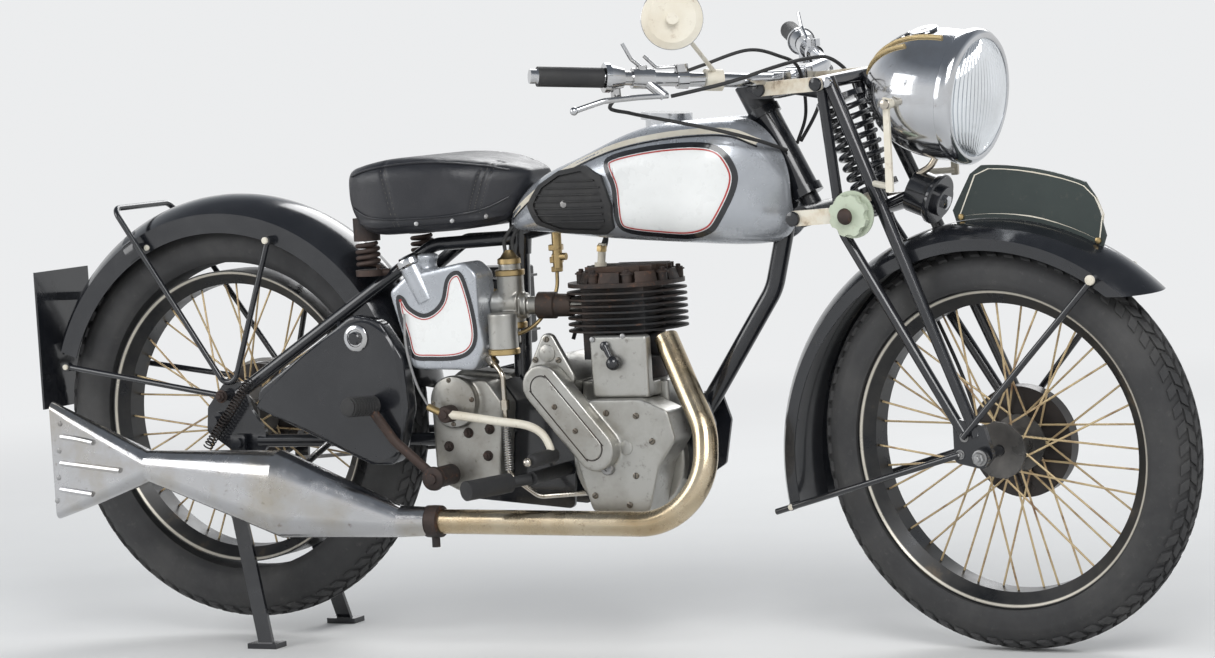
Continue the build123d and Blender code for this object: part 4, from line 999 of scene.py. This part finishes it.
plateThick, lineWidth = 5, 2.2
plateLine = (plateRing(401, [-7.6 + 3.5 * k for k in range(11)]) + plateRing(440, [26]) + plateRing(460, [23.4])
             + plateRing(470, [20.6]) + plateRing(471, [19 - 3.1 * k for k in range(7)]) + plateRing(462, [-2.6]))
lineCentre = Vector([sum(values) / len(plateLine) for values in zip(*plateLine)])
plateBolts = [(x, plateThick / 2, z, 5, 3) for x, z in plateRing(400, [-7, 27])]
guardBolts = [(1590, 72, 208, 8, 5), (1034, 72, -151, 5, 4), (1270, 70, 252, 5, 4)]
forkNuts = [(1396, 102, -60, 10, 9), (1366, 91, -30, 6, 5), (1357, 91, -57, 6, 5)]
linkCaps = [(1049, 84, 516, 11, 6), (1150, 80, 520, 11, 6), (1098, 96, 313, 12, 6)]
for side, sideName in sides:
    verts, faces = [], []
    for x, z in plateLine:
        inward = (lineCentre - Vector((x, z))).normalized() * lineWidth
        for step in (0, 1):
            verts.append(front(x + inward.x * step, side * plateThick / 2, z + inward.y * step))
    for i in range(len(plateLine)):
        j = (i + 1) % len(plateLine)
        face = (2 * i, 2 * i + 1, 2 * j + 1, 2 * j)
        faces.append(face if side > 0 else face[::-1])
    addPiece("plateLine" + sideName, verts, faces, "creamPaint", "steering")
    screws("plateBolts" + sideName, frontPlaces(side, plateBolts), "brass", body="steering")
    screws("frontGuardBolts" + sideName, frontPlaces(side, guardBolts), "creamPaint", body="steering")
    hexNuts("forkNuts" + sideName, frontPlaces(side, forkNuts), "steel", "steering")
    screws("linkCaps" + sideName, frontPlaces(side, linkCaps), "blackEnamel", body="steering")
screws("linkChromeCap", frontPlaces(-1, [(1166, 72, 522, 9, 7)]), "chrome", body="steering")
lathe("knobCentre", front(1206, -121, 318), frontWay(0, -1, 0), [(0, 13), (3, 12), (6, 8), (7, 1)], "rustyIron", 28,
      "steering")

# headlamp: fluted glass, chrome rim, two cords at the back, dials and feed pipe
lampTilt = math.radians(-8)
lensCentre = (1385, 0, 482)
lampWay = frontWay(math.cos(lampTilt), 0, math.sin(lampTilt))
lampUp = frontWay(-math.sin(lampTilt), 0, math.cos(lampTilt))
lampSide = lampWay.cross(lampUp)
lensLook = dict(radius=94, dome=16, flutes=20, fluteDepth=3.4, across=8, rows=44)
lensMiddle = front(*lensCentre)
verts, faces = [], []
lensColumns = lensLook["flutes"] * lensLook["across"]
for i in range(lensColumns + 1):
    share = 2 * i / lensColumns - 1
    flute = abs(math.sin(math.pi * i / lensLook["across"]))
    for k in range(lensLook["rows"] + 1):
        turn = math.pi * k / lensLook["rows"]
        u, v = share * math.sin(turn), -math.cos(turn)
        edge = 1 - u * u - v * v
        bulge = lensLook["dome"] * edge + 1 + lensLook["fluteDepth"] * flute * min(1, edge * 5)
        verts.append(lensMiddle + (lampSide * u + lampUp * v) * lensLook["radius"] * mm + lampWay * bulge * mm)
for i in range(lensColumns):
    for k in range(lensLook["rows"]):
        a = i * (lensLook["rows"] + 1) + k
        faces.append((a, a + lensLook["rows"] + 1, a + lensLook["rows"] + 2, a + 1))
lens = addPiece("lampLens", verts, faces, "lampGlass", "steering", sharp=80)
# the faces at the edges of each flute, in its valleys, take the darker glass: painted shade in the flute valleys
lens.data.materials.append(material["lampValley"])
for face in lens.data.polygons:
    if face.index // lensLook["rows"] % lensLook["across"] in (0, lensLook["across"] - 1):
        face.material_index = 1
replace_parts(lens, "headlamp_glass")
lathe("lampRim", lensMiddle - lampWay * 20 * mm, lampWay,
      [(0, 101.5), (2, 104), (10, 105.5), (18, 104.5), (24, 100), (26, 95), (25, 91), (21, 90), (19, 93)], "chrome",
      96, "steering")
shellTree = nodeTree("headlamp_shell")


def onShell(distance, degrees, lift):
    # a place on the lamp shell, behind the lens by distance and turned from its top towards the right
    turn = math.radians(degrees)
    outward = lampUp * math.cos(turn) + lampSide * rightSign * math.sin(turn)
    base = lensMiddle - lampWay * distance * mm
    return touch(shellTree, base + outward * 0.2, -outward, lift)


rightSign = 1 if lampSide.dot(frontWay(0, -1, 0)) > 0 else -1
# two cords over the back of the lamp: degrees from its top, start and end behind the lens
lampCords = dict(radius=3.2, lift=1.8, lines=((26, 40, 174), (38, 96, 180)))
cordPaths = [smoothPath([onShell(first + (last - first) * k / 14, degrees, lampCords["lift"]) for k in range(15)],
                        3) for degrees, first, last in lampCords["lines"]]
addPiece("lampCords", *tubeShape(cordPaths, lampCords["radius"], 10), "agedGold", "steering")
# dial: distance behind the lens, radius
lampDials = {"lampMeter": (84, 21), "lampSwitch": (126, 17)}
dialTurn = 12
for name, (distance, radius) in lampDials.items():
    foot = onShell(distance, dialTurn, -2)
    outward = (foot - onShell(distance, dialTurn, 20)) * -1
    lathe(name, foot, outward,
          [(0, radius - 1), (4, radius - 1), (4.6, radius - 3), (5, radius - 6), (5.6, 5), (6, 1)], "blackPlastic",
          36, "steering")
    lathe(name + "Ring", foot + outward.normalized() * 2 * mm, outward,
          [(0, radius), (2, radius + 1), (3.4, radius - 0.6), (3.4, radius - 3)], "chrome", 36, "steering")
tube("lampFeed", [front(1306, 0, 392), front(1296, -4, 378), front(1276, -10, 366), front(1268, -12, 352),
                  front(1270, -8, 338)], 5.5, "nickel", 14, body="steering")
screws("lampBolts", [(front(1288, side * 112, 487), frontWay(0, side, 0), 8, 5) for side in (-1, 1)], "nickel",
       body="steering")
lathe("hornNut", front(1316, 0, 322), frontWay(1, 0, -0.38), [(0, 12), (4, 12), (6, 9), (7, 3)], "chrome", 6,
      "steering")
lathe("hornRing", front(1298, 0, 329), frontWay(36, 0, -14), [(0, 38.6), (2, 40), (8, 40), (10, 38)], "blackEnamel",
      48, "steering")

# mirror glass on the side away from its cream back
mirrorMiddle = front(1079 - 0.57 * 5, -360 + 0.82 * 5, 651 - 0.06 * 5)
mirrorWay = frontWay(-0.57, 0.82, -0.06)
mirrorSide = mirrorWay.orthogonal().normalized()
lathe("mirrorGlass", mirrorMiddle, mirrorWay, [(-0.4, 43), (0.4, 43), (0.6, 42), (0.6, 1)], "mirrorGlass", 64,
      "steering")
tube("mirrorEdge", [mirrorMiddle + spoke(mirrorSide, mirrorWay.cross(mirrorSide), t / 12 * math.pi, 45.6)
                    for t in range(24)], 1.6, "chrome", 10, 2, True, "steering")


# control cables from the bar to the frame
barLine = dict(bend=(1048, 127, 535), gripEnd=(826, 388, 578))


def barPlace(side, share, forward=0, rise=0):
    # a place beside the bar, from its bend (0) to its grip's end (1)
    x, y, z = (a + (b - a) * share for a, b in zip(barLine["bend"], barLine["gripEnd"]))
    return front(x + forward, side * y, z + rise)


def bendingCable(name, points, radius):
    shape = tubeShape([smoothPath(points, 12)], radius, 10)
    acrossJoint(name, *shape, "rubber", "steering", "chassis", points[0], points[-1])


bendingCable("throttleCable", [barPlace(-1, 0.6, 0, -30), at(862, -262, 496), at(876, -226, 487),
                               at(884, -196, 481), at(932, -158, 466), at(984, -128, 450), at(1030, -84, 430),
                               at(1052, -30, 412)], 3)
bendingCable("airCable", [barPlace(-1, 0.285, 0, 10), barPlace(-1, 0.2, 6, 22), barPlace(-1, 0.02, 20, 46),
                          front(1074, -60, 566), front(1080, -10, 540), at(1064, 26, 470), at(1046, 26, 420)], 2.8)
bendingCable("clutchCable",
             [barPlace(1, 0.41, 24, -28), barPlace(1, 0.2, 24, -20), front(1066, 90, 500), at(1064, 60, 462),
              at(1052, 28, 424)], 3)
print("small pieces and cables placed")


# camera, floor and light
shot = dict(azimuth=26.81, elevation=4.33, roll=-3.44, distance=5.941, target=at(702, 0, 133), focalPixels=3640.8,
            imageWidth=1215, sensorWidth=36)


def placeCamera(shot):
    az, el, roll = (math.radians(shot[key]) for key in ("azimuth", "elevation", "roll"))
    back = Vector((math.sin(az) * math.cos(el), -math.cos(az) * math.cos(el), math.sin(el)))
    right = Vector((math.cos(az), math.sin(az), 0))
    up = back.cross(right)
    turnedRight = right * math.cos(roll) + up * math.sin(roll)
    turnedUp = up * math.cos(roll) - right * math.sin(roll)
    camData = bpy.data.cameras.new("photoCamera")
    camData.sensor_width = shot["sensorWidth"]
    camData.lens = shot["focalPixels"] / shot["imageWidth"] * shot["sensorWidth"]
    camData.clip_end = 100
    camera = bpy.data.objects.new("photoCamera", camData)
    place = shot["target"] + back * shot["distance"]
    camera.matrix_world = Matrix((*zip(turnedRight, turnedUp, back, place), (0, 0, 0, 1)))
    scene.collection.objects.link(camera)
    scene.camera = camera


placeCamera(shot)

# the floor's paint fades into an even pale tone away from the machine
floorLook = dict(size=30, patch=(0.76, 0.76, 0.75), near=(0.78, 0.78, 0.77), far=(0.93, 0.94, 0.95),
                 farStrength=0.9, fadeStart=1.6, fadeEnd=5.0, roughness=0.9)
half = floorLook["size"] / 2
floorMesh = bpy.data.meshes.new("floor")
floorMesh.from_pydata([(-half, -half, 0), (half, -half, 0), (half, half, 0), (-half, half, 0)], [], [(0, 1, 2, 3)])
floor = bpy.data.objects.new("floor", floorMesh)
scene.collection.objects.link(floor)
floorPaint, shader = newMaterial("floorPaint")
shader.inputs["Roughness"].default_value = floorLook["roughness"]
floorTone = ramp(floorPaint, noise(floorPaint, 3, 6), [(0.3, floorLook["patch"]), (0.7, floorLook["near"])])
feed(floorPaint, floorTone, shader.inputs["Base Color"])
reach = newNode(floorPaint, "VectorMath", {0: objectPlace(floorPaint)}, operation="LENGTH")
fade = newNode(floorPaint, "MapRange", {"Value": reach.outputs["Value"], "From Min": floorLook["fadeStart"],
                                        "From Max": floorLook["fadeEnd"]}, interpolation_type="SMOOTHSTEP")
farLight = newNode(floorPaint, "Emission", {"Color": (*floorLook["far"], 1), "Strength": floorLook["farStrength"]})
blendFloor = newNode(floorPaint, "MixShader",
                     {"Fac": fade.outputs["Result"], 1: shader.outputs["BSDF"], 2: farLight.outputs["Emission"]})
floorOut = floorPaint.node_tree.nodes["Material Output"]
feed(floorPaint, blendFloor.outputs["Shader"], floorOut.inputs["Surface"])
floorMesh.materials.append(floorPaint)

# the sky is white behind the machine and falls to grey overhead, which gives the bright metal its bands
skyLook = dict(horizon=(0.93, 0.94, 0.95), middle=(0.62, 0.65, 0.69), top=(0.2, 0.22, 0.25), strength=0.9)
world = bpy.data.worlds.new("studio")
world.use_nodes = True
scene.world = world
skyPlace = newNode(world, "TexCoord", {}).outputs["Generated"]
skyHeight = newNode(world, "SeparateXYZ", {0: skyPlace}).outputs["Z"]
skyColour = ramp(world, skyHeight,
                 [(0.0, skyLook["horizon"]), (0.26, skyLook["horizon"]), (0.42, skyLook["middle"]),
                  (0.75, skyLook["top"])])
background = world.node_tree.nodes["Background"]
feed(world, skyColour, background.inputs["Color"])
background.inputs["Strength"].default_value = skyLook["strength"]

lamps = {
    "keyLamp": dict(place=(2.6, -3.4, 3.6), size=2.6, power=150),
    "fillLamp": dict(place=(-3.2, -2.8, 2.2), size=2.4, power=60),
    "backLamp": dict(place=(-0.6, 3.4, 3.2), size=2.6, power=90),
}
for name, lamp in lamps.items():
    data = bpy.data.lights.new(name, "AREA")
    data.size = lamp["size"]
    data.energy = lamp["power"]
    light = bpy.data.objects.new(name, data)
    light.location = lamp["place"]
    aim = Vector((0, 0, 0.5)) - Vector(lamp["place"])
    light.rotation_euler = aim.to_track_quat("-Z", "Y").to_euler()
    scene.collection.objects.link(light)
print("camera, floor and lamps placed")
